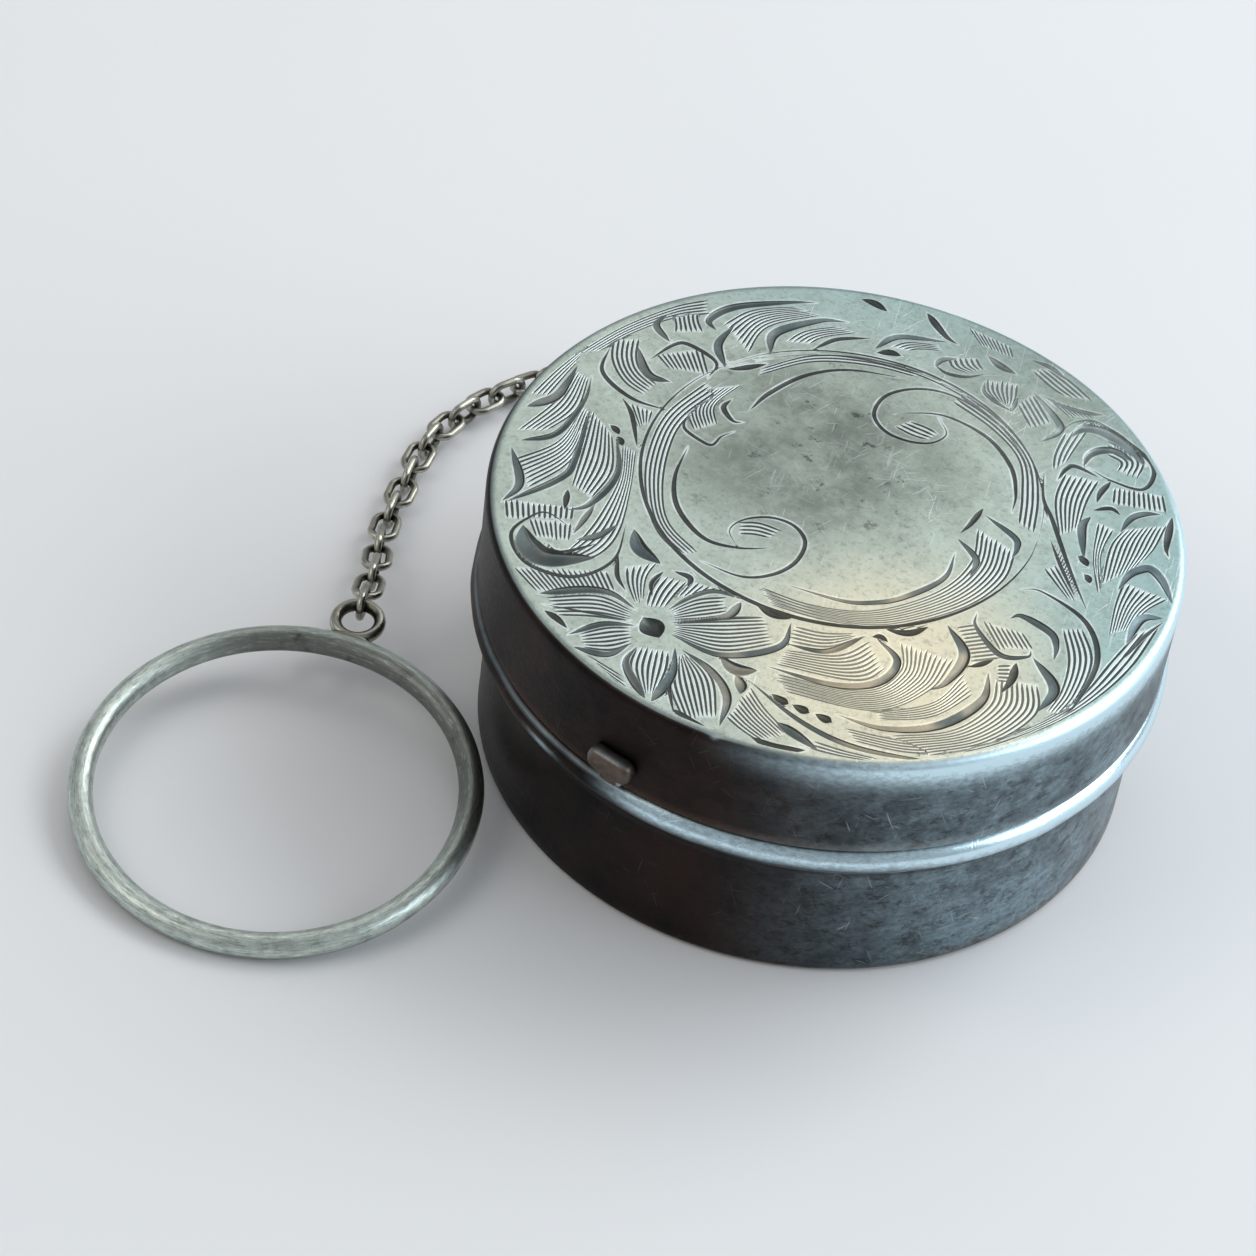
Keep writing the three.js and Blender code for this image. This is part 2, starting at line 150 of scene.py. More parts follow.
FIELD_HATCHES = [
    Hatch([(6.9, 0.2), (6.6, -2.5), (5, -4.9), (2, -6.75), (-1, -6.95), (-3.6, -6.2)],
          [(9, -1.2), (8.4, -3.5), (6.5, -5.8), (3, -7.75), (0, -7.95), (-3, -7.4)]),
    Hatch([(-6.3, 7.6), (-8, 5.2), (-8.6, 3), (-8.7, 0), (-8.2, -2.5), (-6.6, -4.4)],
          [(-7.3, 8.4), (-9.2, 5.4), (-9.85, 2), (-9.6, -1), (-8.8, -3.4), (-7.4, -5)]),
    Hatch([(-4.8, 9.2), (-2, 10.9), (1, 11.3), (3.5, 10.9)], [(-4.7, 9.9), (-2, 11.6), (1, 12), (4, 11.4)]),
    Hatch([(5.2, 9.4), (7.4, 7.6), (8.8, 5.6), (9, 3), (8.9, 0.8)],
          [(6.1, 10.2), (8.3, 8.1), (9.7, 5.6), (10.05, 3), (9.85, 0.2)]),
    Hatch([(-4.9, -1.75), (-3.8, -1.6), (-2.6, -2)], [(-4.9, -2.8), (-4, -2.7), (-3.2, -2.8)]),
    Hatch([(2.3, 6.85), (3.3, 6.25), (4.3, 6.05)], [(3.2, 7.5), (4.2, 7.2), (4.9, 6.7)]),
    Hatch([(-5.3, 8.6), (-6.6, 6.7), (-6.4, 5.1)], [(-7.4, 7.8), (-8.1, 6), (-7.6, 4.3)]),
]
LEFT_LEAF_CUTS = [
    Cut(0.6, 0.75, 0.3, [(-13.9, 8.2), (-14.3, 6.7), (-14.8, 5.5), (-16.1, 4.5)]),
    Cut(0.4, 0.8, -0.4, [(-13.1, 7.5), (-13.3, 5.5), (-14.4, 2.8), (-16.1, 1.9)]),
    Cut(0.45, 0.7, -0.4, [(-12.9, 5), (-13.3, 1), (-13.9, -0.5), (-16.3, -2.7)]),
    Cut(0.5, 0.5, 0.3, [(-16.5, 1.3), (-15.8, -1.2), (-16.5, -2.7)]),
    Cut(0.45, 0.65, -0.4, [(-11.4, 3.2), (-11.1, 0.5), (-12.2, -2), (-13.3, -2.7)]),
    Cut(0.4, 0.5, 0, [(-11.8, 4), (-11.5, 3.75), (-11.3, 3.4)]),
    Cut(0.4, 0.5, 0, [(-11.4, 3.2), (-11.2, 3), (-11.05, 2.6)]),
    Cut(0.34, 0.4, 0, [(-13.4, -1.2), (-13.4, -2), (-13.4, -2.7)]),
    Cut(0.28, 0.4, 0, [(-11.4, 6.2), (-10.8, 5), (-10.3, 2.6)]),
]
LEFT_LEAF_HATCHES = [
    Hatch([(-16.1, 5.4), (-15, 7.6), (-13.7, 9.7)], [(-15.1, 5.5), (-14.5, 7), (-13.8, 8.8)]),
    Hatch([(-13.9, 7.9), (-14.8, 5.3), (-16.5, 2.5)], [(-13.2, 7.5), (-13.5, 4.8), (-14.9, 2.8)]),
    Hatch([(-13.3, 5.2), (-14.3, 2.3), (-16.5, 0.4)], [(-12.9, 4.9), (-13.4, 1), (-15.4, -1.7)]),
    Hatch([(-12.8, 5), (-13.1, 1.5), (-13.3, -0.9)], [(-11.6, 3.4), (-11.3, 0.6), (-12.2, -1.8)]),
    Hatch([(-11.1, 2.8), (-11, 0.3), (-11.6, -2.2), (-12.3, -4.2), (-13, -5.5)],
          [(-10.3, 2.4), (-10.3, -0.5), (-10.5, -3.6), (-11.2, -5.4), (-12.6, -6.6)]),
    Hatch([(-11.3, 6), (-10.4, 4)], [(-9.7, 5.6), (-9.9, 4.5)]),
]
LEFT_SCROLL_CUTS = [
    Cut(0.26, 0.5, 0.3, [
        (-10.3, -3), (-10.7, -5.8), (-12.5, -7.3), (-14.8, -6.8), (-15.8, -4.9), (-14.9, -3.4),
        (-14.1, -3.1), (-12.9, -4),
    ]),
    Cut(1.4, 0.4, 0.5, [(-15.3, -4.2), (-14.9, -5.5), (-13.9, -6.2), (-11.6, -5.8)]),
    Cut(0.22, 0.5, 0, [(-14, -5.2), (-13.3, -5.7), (-11.6, -4.8)]),
    Cut(0.34, 0.4, 0.3, [(-12, -2.1), (-12.4, -3.2), (-12.8, -4.3)]),
    Cut(0.45, 0.6, 0.3, [(-10.7, -3.2), (-11.6, -4.2), (-12.6, -4.7)]),
]
LEFT_SCROLL_HATCHES = [
    Hatch([(-15.2, -3.5), (-14.6, -5)], [(-12.9, -3.5), (-12.9, -4.9)]),
    Hatch([(-16.5, -2.4), (-16.2, -4)], [(-12.9, -2.4), (-12.9, -3.3)]),
    Hatch([(-15.6, -7.1), (-14.1, -8.8)], [(-10.9, -6.5), (-10.3, -8)]),
]
FLOWER_CUTS = [
    Cut(1.3, 0.5, 0, [(-8.9, -9.5), (-8.4, -10.1), (-8, -10.7)]),
    Cut(0.28, 0.6, 0, [(-8.6, -8), (-8.7, -7), (-8.2, -6.1)]),
    Cut(0.34, 0.5, 0, [(-7.7, -6), (-6.9, -6.3), (-6.95, -7)]),
    Cut(0.26, 0.5, 0, [(-10.5, -5.3), (-10.4, -6.8), (-9.9, -7.8)]),
    Cut(0.85, 0.5, 0.2, [(-9.9, -3.4), (-9.5, -4.7), (-8.4, -5.6)]),
    Cut(0.34, 0.55, 0.4, [(-7.8, -8.8), (-6.7, -7.6), (-5.6, -7), (-4.3, -7.3)]),
    Cut(0.5, 0.4, 0.4, [(-4.3, -7.5), (-4.8, -8.5), (-5.6, -8.8)]),
    Cut(0.16, 0.4, 0, [(-5.3, -8.8), (-6.5, -9.3), (-7.6, -9.6)]),
    Cut(0.46, 0.6, -0.5, [(-7.5, -10.4), (-5, -11.3), (-2.3, -10.2), (-1.8, -8.4)]),
    Cut(0.14, 0.5, 0, [(-7.4, -9.7), (-5.2, -8.9), (-3.2, -8.4)]),
    Cut(0.48, 0.6, 0.4, [(-6.9, -11.3), (-5.4, -12.4), (-4.5, -14), (-4.7, -16)]),
    Cut(0.24, 0.5, 0, [(-7.2, -11.6), (-7.3, -13.5), (-6.9, -15.6)]),
    Cut(0.55, 0.4, 0, [(-6.9, -15.3), (-6.2, -15.9), (-5.3, -16.2)]),
    Cut(0.5, 0.7, -0.4, [(-9, -11.5), (-9.4, -12.8), (-8.3, -14.9)]),
    Cut(0.55, 0.75, 0.4, [(-7.2, -11.2), (-7.2, -13), (-8, -15)]),
    Cut(0.4, 0.55, -0.3, [(-9.2, -10.1), (-10.8, -10.3), (-12.3, -11.3)]),
    Cut(0.42, 0.6, 0.3, [(-9.4, -11.5), (-10.4, -12.3), (-12, -12.1)]),
    Cut(0.55, 0.7, -0.4, [(-9.3, -9), (-10.6, -8.1), (-12, -8.1), (-14, -8.8)]),
    Cut(0.16, 0.5, 0, [(-9.5, -9.8), (-12, -9.6), (-13.7, -9.5)]),
    Cut(0.4, 0.4, 0, [(-13.6, -9.9), (-13, -10.3), (-12.4, -10.9)]),
]
FLOWER_HATCHES = [
    Hatch([(-8.4, -6.3), (-8.8, -7.5), (-8.9, -8.8)], [(-6.9, -6.6), (-7.4, -7.6), (-7.9, -8.7)]),
    Hatch([(-10.2, -6), (-9.9, -7.4), (-9.3, -8.8)], [(-8.4, -5.4), (-8.9, -6.6), (-9, -8.4)]),
    Hatch([(-7.5, -7.9), (-6.8, -6.4)], [(-6.2, -7.4), (-5.5, -6.8)]),
    Hatch([(-7.7, -8.8), (-6.5, -7.7), (-5, -7.2)], [(-7.4, -9.4), (-6, -9.1), (-4.9, -8.6)]),
    Hatch([(-7.4, -9.5), (-5.4, -8.7), (-3, -8.2)], [(-7.5, -10.4), (-5, -11.1), (-2.5, -10.1)]),
    Hatch([(-7.1, -11.6), (-7.4, -13.6), (-6.5, -15.9)], [(-6.7, -11.4), (-5.2, -12.9), (-4.8, -15.6)]),
    Hatch([(-9.1, -11.4), (-9.3, -12.9), (-8.5, -14.6)], [(-7.4, -11.4), (-7.4, -12.8), (-7.9, -14.6)]),
    Hatch([(-9.3, -10.2), (-10.6, -10.4), (-12, -11.2)], [(-9.2, -11.4), (-10.2, -12.1), (-11.5, -12.1)]),
    Hatch([(-9.4, -9.1), (-11.2, -8.3), (-13.7, -8.9)], [(-9.5, -9.9), (-11.6, -10), (-13, -10.2)]),
    Hatch([(-11.4, -12.4), (-9.4, -13.6)], [(-10.2, -13.6), (-9, -14.6)]),
]
SPRAY_CUTS = [
    Cut(0.4, 0.6, 0.4, [(-2, -9.9), (0, -10), (1.8, -8.6)]),
    Cut(0.5, 0.35, 0.5, [(2.3, -8.6), (3.4, -10), (2.6, -11.6), (0.5, -12.2), (-2.8, -11.6)]),
    Cut(0.34, 0.5, 0, [(2.1, -8.6), (2.5, -8.5), (2.9, -8.8)]),
    Cut(0.6, 0.45, 0.5, [(5.7, -7.1), (6.6, -9), (5.8, -11), (5, -11.7)]),
    Cut(0.34, 0.5, 0, [(6.8, -9.8), (7.4, -9.5), (8, -9.1)]),
    Cut(0.58, 0.35, 0.5, [(7.8, -10), (7.5, -12), (5.5, -14), (3, -14.65), (0.7, -14.15)]),
    Cut(0.6, 0.5, 0.4, [(9.9, -8.6), (10.95, -10.5), (10.2, -12.2)]),
    Cut(0.45, 0.35, 0, [(9.1, -9.1), (8.9, -10.3), (8.4, -11.3)]),
    Cut(0.36, 0.55, 0.3, [(-3.7, -12.6), (-1, -14.9), (1.5, -16.1), (4.5, -16.4), (6, -16.2)]),
    Cut(0.55, 0.7, 0, [(-2.4, -13.4), (-2, -13.7), (-1.6, -13.9)]),
    Cut(0.55, 0.7, 0, [(-1.4, -13.9), (-1, -14.1), (-0.6, -14.3)]),
    Cut(0.55, 0.7, 0, [(-0.3, -14.3), (0.1, -14.5), (0.5, -14.7)]),
    Cut(0.6, 0.35, 0.4, [(-2.1, -15.2), (-1.2, -15.8), (0, -16.7)]),
    Cut(0.6, 0.5, 0, [(-3.2, -16.4), (-2, -16.9), (-0.6, -16.8)]),
    Cut(0.5, 0.5, 0, [(-3.6, -7.4), (-2.8, -8), (-1.9, -8.2)]),
    Cut(0.8, 0.5, 0.3, [(-5, -11.5), (-4.2, -12.1), (-3.2, -12)]),
    Cut(0.6, 0.5, 0.3, [(-4.2, -12.5), (-3.9, -13.1), (-3.9, -13.7)]),
    Cut(0.45, 0.5, 0, [(2.8, -8), (3.9, -8), (4.8, -7.4)]),
]
SPRAY_HATCHES = [
    Hatch([(-1.8, -8.5), (-0.3, -8.7), (1.4, -8.5)], [(-2, -9.8), (0, -9.8), (1.6, -8.7)]),
    Hatch([(2, -8.8), (0.5, -10.1), (-2, -10.3)], [(3, -10.6), (1.5, -11.8), (-2.6, -11.4)]),
    Hatch([(3.4, -8.5), (3.5, -10.6), (1.8, -12.3), (-2.5, -12)],
          [(6.2, -9.4), (5, -11.8), (2.4, -13.6), (-2, -13.1)]),
    Hatch([(6.6, -10.2), (5.2, -12.4), (2.4, -13.7)], [(7.2, -11.6), (5.2, -13.5), (2.6, -14.2)]),
    Hatch([(8.1, -10.2), (7.8, -12.2), (6, -14.2), (3, -15.1)],
          [(10.2, -10.2), (10.2, -12.4), (8, -14.8), (5, -16.2)]),
    Hatch([(-3.5, -12.9), (-2.6, -14.4), (-1.3, -15.9)], [(-4.5, -15.4), (-3.7, -16.1), (-2.8, -16.7)]),
    Hatch([(-0.3, -16), (1.2, -16.4), (3, -16.7)], [(-0.6, -16.7), (0.8, -16.9), (2.2, -16.95)]),
    Hatch([(6.4, -14.6), (4, -15.2), (0.9, -14.9)], [(6.2, -15.8), (4, -16.1), (1.6, -15.8)]),
]
RIGHT_SCROLL_CUTS = [
    Cut(0.32, 0.5, 0.3, [(9.2, -3.9), (10.3, -3.9), (12.4, -5.6), (13, -8.2), (12, -11.3), (11.2, -12.5)]),
    Cut(0.36, 0.6, 0.3, [(7.1, -6), (7.1, -7), (8.3, -8.7), (9.6, -8.6), (9.8, -8.1)]),
    Cut(0.5, 0.4, 0.3, [(8.7, -6.1), (9.3, -5.8), (10.7, -6.7), (11, -7.6), (10.9, -8.6)]),
]
RIGHT_SCROLL_HATCHES = [
    Hatch([(11.2, -6.2), (11.5, -8.5), (11.2, -10.6), (10.5, -12.3)],
          [(12.3, -6), (12.85, -8.2), (12.2, -10.7), (11.3, -12.3)]),
    Hatch([(7.3, -6.4), (8.2, -8.4)], [(9.4, -6.9), (10, -8.1)]),
    Hatch([(6.1, -7.1), (7.1, -6.7)], [(6.9, -9.5), (8.4, -9)]),
    Hatch([(8.1, -9.4), (8.9, -9.2)], [(8.2, -10.6), (8.8, -10.6)]),
    Hatch([(14.9, -5.8), (13.5, -8.2), (12.3, -10.5), (10.8, -12.4), (8.6, -14.2), (6.2, -15.7)],
          [(16.2, -5), (14.9, -8.1), (13.2, -10.6), (11.2, -12.7), (8.8, -14.5), (6.8, -15.6)]),
]
RIGHT_LEAF_CUTS = [
    Cut(0.26, 0.45, 0, [(10.2, 5), (10.2, 3), (10.7, 1.4), (11.6, -2), (12.5, -4.9)]),
    Cut(0.22, 0.5, 0, [(10.6, 0), (11.2, -2), (11.9, -4)]),
    Cut(0.5, 0.3, 0.3, [(12.6, 2.1), (12.2, 1.4), (12.2, 0.2), (12.3, -1.1)]),
    Cut(0.45, 0.5, 0, [(12, -0.9), (12.3, -1.2), (12.5, -1.6)]),
    Cut(0.4, 0.5, 0, [(12.3, -2.2), (12.5, -2.4), (12.6, -2.8)]),
    Cut(0.42, 0.6, -0.4, [(14.1, 1.2), (14.6, 2.3), (15.3, 2.8), (16.1, 2.9)]),
    Cut(0.42, 0.4, 0, [(16.7, 2.8), (16.4, 0.6), (16.5, -0.2)]),
    Cut(0.55, 0.45, -0.4, [(14, -3), (14.5, -1.9), (15, -1.4), (15.6, -1.2), (16.2, -2), (16.7, -3.6)]),
    Cut(0.55, 0.4, 0.3, [(16.2, -4.6), (15.1, -4.9), (14.4, -6.8)]),
    Cut(0.24, 0.5, 0, [(16.2, -4.9), (15.2, -6.2), (14.3, -7.8)]),
    Cut(0.3, 0.4, 0.3, [(10.9, 4.5), (11.3, 5.4), (11.8, 5.7), (13, 5.1)]),
    Cut(0.36, 0.4, 0, [(13.6, 4.9), (13.1, 4), (12.9, 3.2)]),
    Cut(0.3, 0.5, 0, [(12.7, 2.6), (13.6, 2.9), (14.1, 2.5)]),
    Cut(0.28, 0.5, 0.3, [
        (11, 8.3), (11.8, 9.1), (13, 9.2), (15.2, 7.3), (15.8, 6), (15.2, 4.6), (13.6, 5), (12.5, 5.7),
    ]),
    Cut(0.55, 0.5, 0.3, [(12.2, 5.8), (12.5, 6.7), (13.2, 7.2), (14, 7.2), (14.6, 6.6)]),
    Cut(0.85, 0.45, 0.4, [(11.5, 7.9), (12.2, 8.65), (13.2, 8.65), (14.4, 7.75), (15.3, 6.4)]),
]
RIGHT_LEAF_HATCHES = [
    Hatch([(10.2, -2.2), (11.5, -4.2)], [(10.9, -1.6), (12, -4.4)]),
    Hatch([(14.3, 1.6), (13.5, 0), (13.1, -3)], [(16.5, 2.2), (15.9, 0.4), (15, -1.1)]),
    Hatch([(12.9, 1.9), (12.7, -1), (13, -3.6)], [(13.9, 1.5), (13.2, -0.6), (13.2, -3.2)]),
    Hatch([(14.2, -2.2), (13.8, -4), (13.5, -6.4)], [(16.6, -3.2), (15.4, -4.3), (14.6, -5.8)]),
    Hatch([(11.2, 5.2), (10.7, 3), (11, 0.2)], [(13.1, 4.9), (12.5, 3.2), (12, 1)]),
    Hatch([(11.1, 8.2), (10.6, 6.3), (10.6, 5)], [(12.6, 8.8), (11.9, 7.2), (11.3, 5.8)]),
    Hatch([(13.7, 4.6), (13.6, 3.2)], [(16.3, 4.4), (16.5, 3)]),
    Hatch([(13.3, 6.8), (14, 6.4), (13.8, 5.7)], [(13.4, 8.5), (15.3, 7), (15, 5.2)]),
]
TOP_LEAF_CUTS = [
    Cut(0.5, 0.5, 0, [(7.1, 13.4), (7.8, 12.7), (8.6, 12.2)]),
    Cut(0.28, 0.5, 0, [(7, 11.3), (7, 10.5), (7.6, 9.8), (8.5, 9.2)]),
    Cut(0.24, 0.5, 0, [(8.7, 10.4), (8.6, 9.8), (8.4, 9.2)]),
    Cut(0.46, 0.6, 0.4, [(9.5, 11), (10.8, 9), (10.9, 8.2), (10, 7.2)]),
    Cut(0.36, 0.4, -0.3, [(4.4, 12), (4.7, 12.6), (5.5, 12.9)]),
    Cut(0.26, 0.4, 0.3, [(4.4, 12.1), (5, 11.6), (6, 11.5), (7, 11.9)]),
    Cut(0.34, 0.5, 0, [(9.4, 13.5), (10.4, 13.1), (11.2, 12.3)]),
    Cut(0.34, 0.7, 0.3, [(10, 10.8), (11, 10.2), (12.2, 9.9), (13.2, 9.9)]),
    Cut(0.45, 0.3, 0, [(3.8, 16.2), (4.8, 14.6), (5.5, 14)]),
    Cut(0.55, 0.25, 0.4, [(-7.1, 12.4), (-7.5, 13.2), (-6.3, 14.5), (-3.5, 15.5), (-2, 15.8)]),
    Cut(0.5, 0.6, 0.3, [(-6.2, 13), (-6.9, 11.3), (-6.4, 9.6)]),
    Cut(0.6, 0.3, -0.4, [(-4.2, 11.2), (-4, 12.9), (-1.8, 14.4), (-0.3, 14.6)]),
    Cut(0.3, 0.4, -0.3, [(-2, 12), (-0.8, 13.1), (1, 13.6)]),
    Cut(0.42, 0.3, -0.4, [(1.2, 12.8), (2.4, 14), (5, 14.1)]),
    Cut(0.5, 0.5, 0, [(1.3, 12.5), (2, 12.65), (2.6, 12.5)]),
    Cut(0.5, 0.5, 0, [(0.3, 16.6), (1, 16.4), (1.7, 15.9)]),
    Cut(0.28, 0.5, 0.3, [(-12.4, 10), (-12.6, 8), (-11, 6.3), (-9, 5.7)]),
    Cut(0.28, 0.5, -0.3, [(-10.3, 9.4), (-9.2, 10.8), (-8.4, 11), (-6.9, 9.9), (-7.2, 8.6)]),
    Cut(0.55, 0.65, 0.3, [(-11, 10.3), (-10.3, 8.3), (-9.1, 7.9)]),
    Cut(0.42, 0.6, 0.3, [(-9.7, 13.2), (-10.2, 12.2), (-9.4, 11)]),
    Cut(0.4, 0.5, 0, [(-6.3, 9.5), (-5.6, 9.7), (-4.3, 10.3)]),
]
TOP_LEAF_HATCHES = [
    Hatch([(7, 11.6), (7.1, 10.6), (7.9, 9.6)], [(8.8, 11.6), (8.7, 10.4), (8.4, 9.5)]),
    Hatch([(8.6, 9.9), (9.4, 8)], [(9.5, 11), (10.6, 8.6)]),
    Hatch([(10.1, 10.8), (11.4, 9.3)], [(11.8, 10.2), (12.8, 9.5)]),
    Hatch([(-6.9, 13), (-5.4, 14.5), (-3, 15.3)], [(-5.3, 10.7), (-4.4, 13.2), (-1.6, 14.9)]),
    Hatch([(-3.6, 12.2), (-2.6, 13.4), (-0.8, 14.2)], [(-2.2, 12.3), (-1.4, 13.1), (0.4, 13.9)]),
    Hatch([(1.8, 13), (2.8, 13.7), (4.6, 13.8)], [(2.9, 12.9), (3.6, 13.2), (4.8, 13.3)]),
    Hatch([(-10.1, 9.9), (-9.3, 8.9)], [(-7.7, 11), (-7.1, 8.7)]),
    Hatch([(-12.4, 10.8), (-12.3, 9), (-11.5, 7.4), (-10.3, 6.5)],
          [(-10.9, 11), (-10.9, 9.6), (-10.6, 8.6), (-9.7, 7.6)]),
    Hatch([(-14.1, 9.1), (-12, 11.7), (-9.5, 13.9), (-7.7, 14.9)],
          [(-12.9, 9.5), (-11.3, 11.3), (-9.3, 12.9), (-7.5, 13.6)]),
    Hatch([(5.9, 15.6), (6.7, 14.1)], [(8.3, 14.4), (8.5, 13.4)]),
    Hatch([(-9.5, 13.2), (-9.3, 12.4), (-9.3, 11.7)], [(-8.1, 14), (-8, 13), (-7.6, 12)]),
    Hatch([(4.9, 12.9), (5.2, 12.1), (6, 11.8)], [(6.6, 13.2), (6.8, 12.6), (7, 12.2)]),
    Hatch([(9.2, 12.8), (10.2, 11.6), (11.2, 10.8)], [(10.4, 13.2), (11.6, 12.2), (12.8, 10.8)]),
]
CUTS = [
    *FIELD_CUTS, *LEFT_LEAF_CUTS, *LEFT_SCROLL_CUTS, *FLOWER_CUTS, *SPRAY_CUTS, *RIGHT_SCROLL_CUTS,
    *RIGHT_LEAF_CUTS, *TOP_LEAF_CUTS,
]
HATCHES = [
    *FIELD_HATCHES, *LEFT_LEAF_HATCHES, *LEFT_SCROLL_HATCHES, *FLOWER_HATCHES, *SPRAY_HATCHES,
    *RIGHT_SCROLL_HATCHES, *RIGHT_LEAF_HATCHES, *TOP_LEAF_HATCHES,
]


def smooth_line(points, steps=10):
    """A smooth line through the points, as an array."""
    p = np.array(points, float)
    ends = np.vstack([2 * p[0] - p[1], p, 2 * p[-1] - p[-2]])
    t = np.linspace(0, 1, steps, endpoint=False)[:, None]
    spans = []
    for a, b, c, d in zip(ends, ends[1:], ends[2:], ends[3:]):
        cubic = -a + 3 * b - 3 * c + d
        square = 2 * a - 5 * b + 4 * c - d
        spans.append(b + 0.5 * ((c - a) * t + square * t**2 + cubic * t**3))
    return np.vstack([*spans, p[-1:]])


def along_line(line, shares):
    """Points at shares of the line's length. Past its ends the line runs on straight."""
    lengths = np.concatenate([[0], np.cumsum(np.linalg.norm(np.diff(line, axis=0), axis=1))])
    at = lengths / lengths[-1]
    inside = np.clip(shares, 0, 1)
    points = np.stack([np.interp(inside, at, line[:, k]) for k in (0, 1)], axis=-1)
    start = (line[1] - line[0]) / (at[1] - at[0])
    end = (line[-1] - line[-2]) / (at[-1] - at[-2])
    return points + np.minimum(shares, 0)[..., None] * start + np.maximum(shares - 1, 0)[..., None] * end


def engrave_cuts(spots):
    """What each spot knows of its nearest cut, in mm: signed distance from the middle of the cut,
    positive on the steep side, half its width, the room inside it, its share of facet, its depth."""
    count = len(spots)
    off, half, room = np.ones(count), np.full(count, 0.05), np.full(count, -1.0)
    facet, depth = np.zeros(count), np.zeros(count)
    for cut in CUTS:
        line = smooth_line(cut.points)
        reach = cut.width / 2 + 0.3
        near = np.flatnonzero(np.all((spots > line.min(0) - reach) & (spots < line.max(0) + reach), axis=1))
        step = np.diff(line, axis=0)
        length = np.linalg.norm(step, axis=1)
        away = spots[near, None] - line[None, :-1]
        share = np.clip((away * step).sum(2) / length**2, 0, 1)
        gap = np.linalg.norm(away - share[..., None] * step, axis=2)
        best = gap.argmin(1)
        row = np.arange(len(near))
        gap, share, away = gap[row, best], share[row, best], away[row, best]
        before = np.concatenate([[0], np.cumsum(length)])
        along = (before[best] + share * length[best]) / before[-1]
        left = np.sign(step[best, 0] * away[:, 1] - step[best, 1] * away[:, 0])
        swell = np.where(along < cut.peak, along / cut.peak, (1 - along) / (1 - cut.peak))
        wide = 0.5 * cut.width * np.sin(0.5 * math.pi * np.clip(swell, 0, 1)) ** 0.8 + 1e-3
        signed = gap * left * (-1 if cut.lean < 0 else 1)
        across = signed / wide
        apex = 0.7 * abs(cut.lean)
        slope = np.minimum((1 - across) / (1 - apex), (1 + across) / (1 + apex))
        deep = CUT_DEPTH * wide * 2 * np.clip(slope, 0, 1)
        depth[near] = np.maximum(depth[near], deep)
        better = wide - gap > room[near]
        chosen = near[better]
        off[chosen], half[chosen], room[chosen] = signed[better], wide[better], (wide - gap)[better]
        facet[chosen] = 1.0 if cut.lean and cut.width > FACET_FROM else 0.0
    return off, half, room, facet, depth


def hatch_place(first, last, f, s):
    """Points at shares f of the way from one line to the other, and at shares s of their length."""
    return (1 - f)[..., None] * along_line(first, s) + f[..., None] * along_line(last, s)


def engrave_hatches(spots):
    """Line number, spacing in mm, lines to the side of the hatch and tapers to the end of the line."""
    number = np.zeros(len(spots))
    pitch = np.ones(len(spots))
    within = np.full(len(spots), -1.0)
    ends = np.full(len(spots), -1.0)
    for index, hatch in enumerate(HATCHES):
        first, last = smooth_line(hatch.first), smooth_line(hatch.last)
        widest = np.linalg.norm(first[:, None] - last, axis=2).min(1).max()
        count = max(3, round(widest / HATCH_PITCH))
        f, s = np.meshgrid(np.linspace(-0.15, 1.15, 14), np.linspace(-0.1, 1.1, 31), indexing="ij")
        f, s = f.ravel(), s.ravel()
        samples = hatch_place(first, last, f, s)
        near = np.flatnonzero(np.all((spots > samples.min(0)) & (spots < samples.max(0)), axis=1))
        best = ((spots[near, None] - samples) ** 2).sum(2).argmin(1)
        f, s = f[best], s[best]
        for _ in range(4):
            miss = spots[near] - hatch_place(first, last, f, s)
            by_f = hatch_place(first, last, f + 0.01, s) - hatch_place(first, last, f - 0.01, s)
            by_s = hatch_place(first, last, f, s + 0.01) - hatch_place(first, last, f, s - 0.01)
            by_f, by_s = by_f / 0.02, by_s / 0.02
            turn = by_f[:, 0] * by_s[:, 1] - by_f[:, 1] * by_s[:, 0]
            turn = np.where(np.abs(turn) < 1e-6, 1e-6, turn)
            f = f + np.clip((miss[:, 0] * by_s[:, 1] - miss[:, 1] * by_s[:, 0]) / turn, -0.2, 0.2)
            s = s + np.clip((by_f[:, 0] * miss[:, 1] - by_f[:, 1] * miss[:, 0]) / turn, -0.1, 0.1)
        found = np.linalg.norm(spots[near] - hatch_place(first, last, f, s), axis=1) < 0.05
        length = np.linalg.norm(np.diff(first, axis=0), axis=1).sum()
        side = np.minimum(f, 1 - f) * count + 0.1
        end = np.clip(np.minimum(s, 1 - s) * length / min(0.45, 0.2 * length), -1, 2)
        inside = np.where(found, np.clip(np.minimum(side, end), -1, 1), -1)
        better = inside > np.minimum(within, ends)[near]
        number[near[better]] = (f * count)[better] + LINES_APART * index
        along_s = by_s / np.linalg.norm(by_s, axis=1)[:, None]
        spread = np.abs(by_f[:, 0] * along_s[:, 1] - by_f[:, 1] * along_s[:, 0]) / count
        pitch[near[better]] = spread[better]
        within[near[better]] = np.clip(side, -1, 1)[better]
        ends[near[better]] = end[better]
    return number, pitch, within, ends


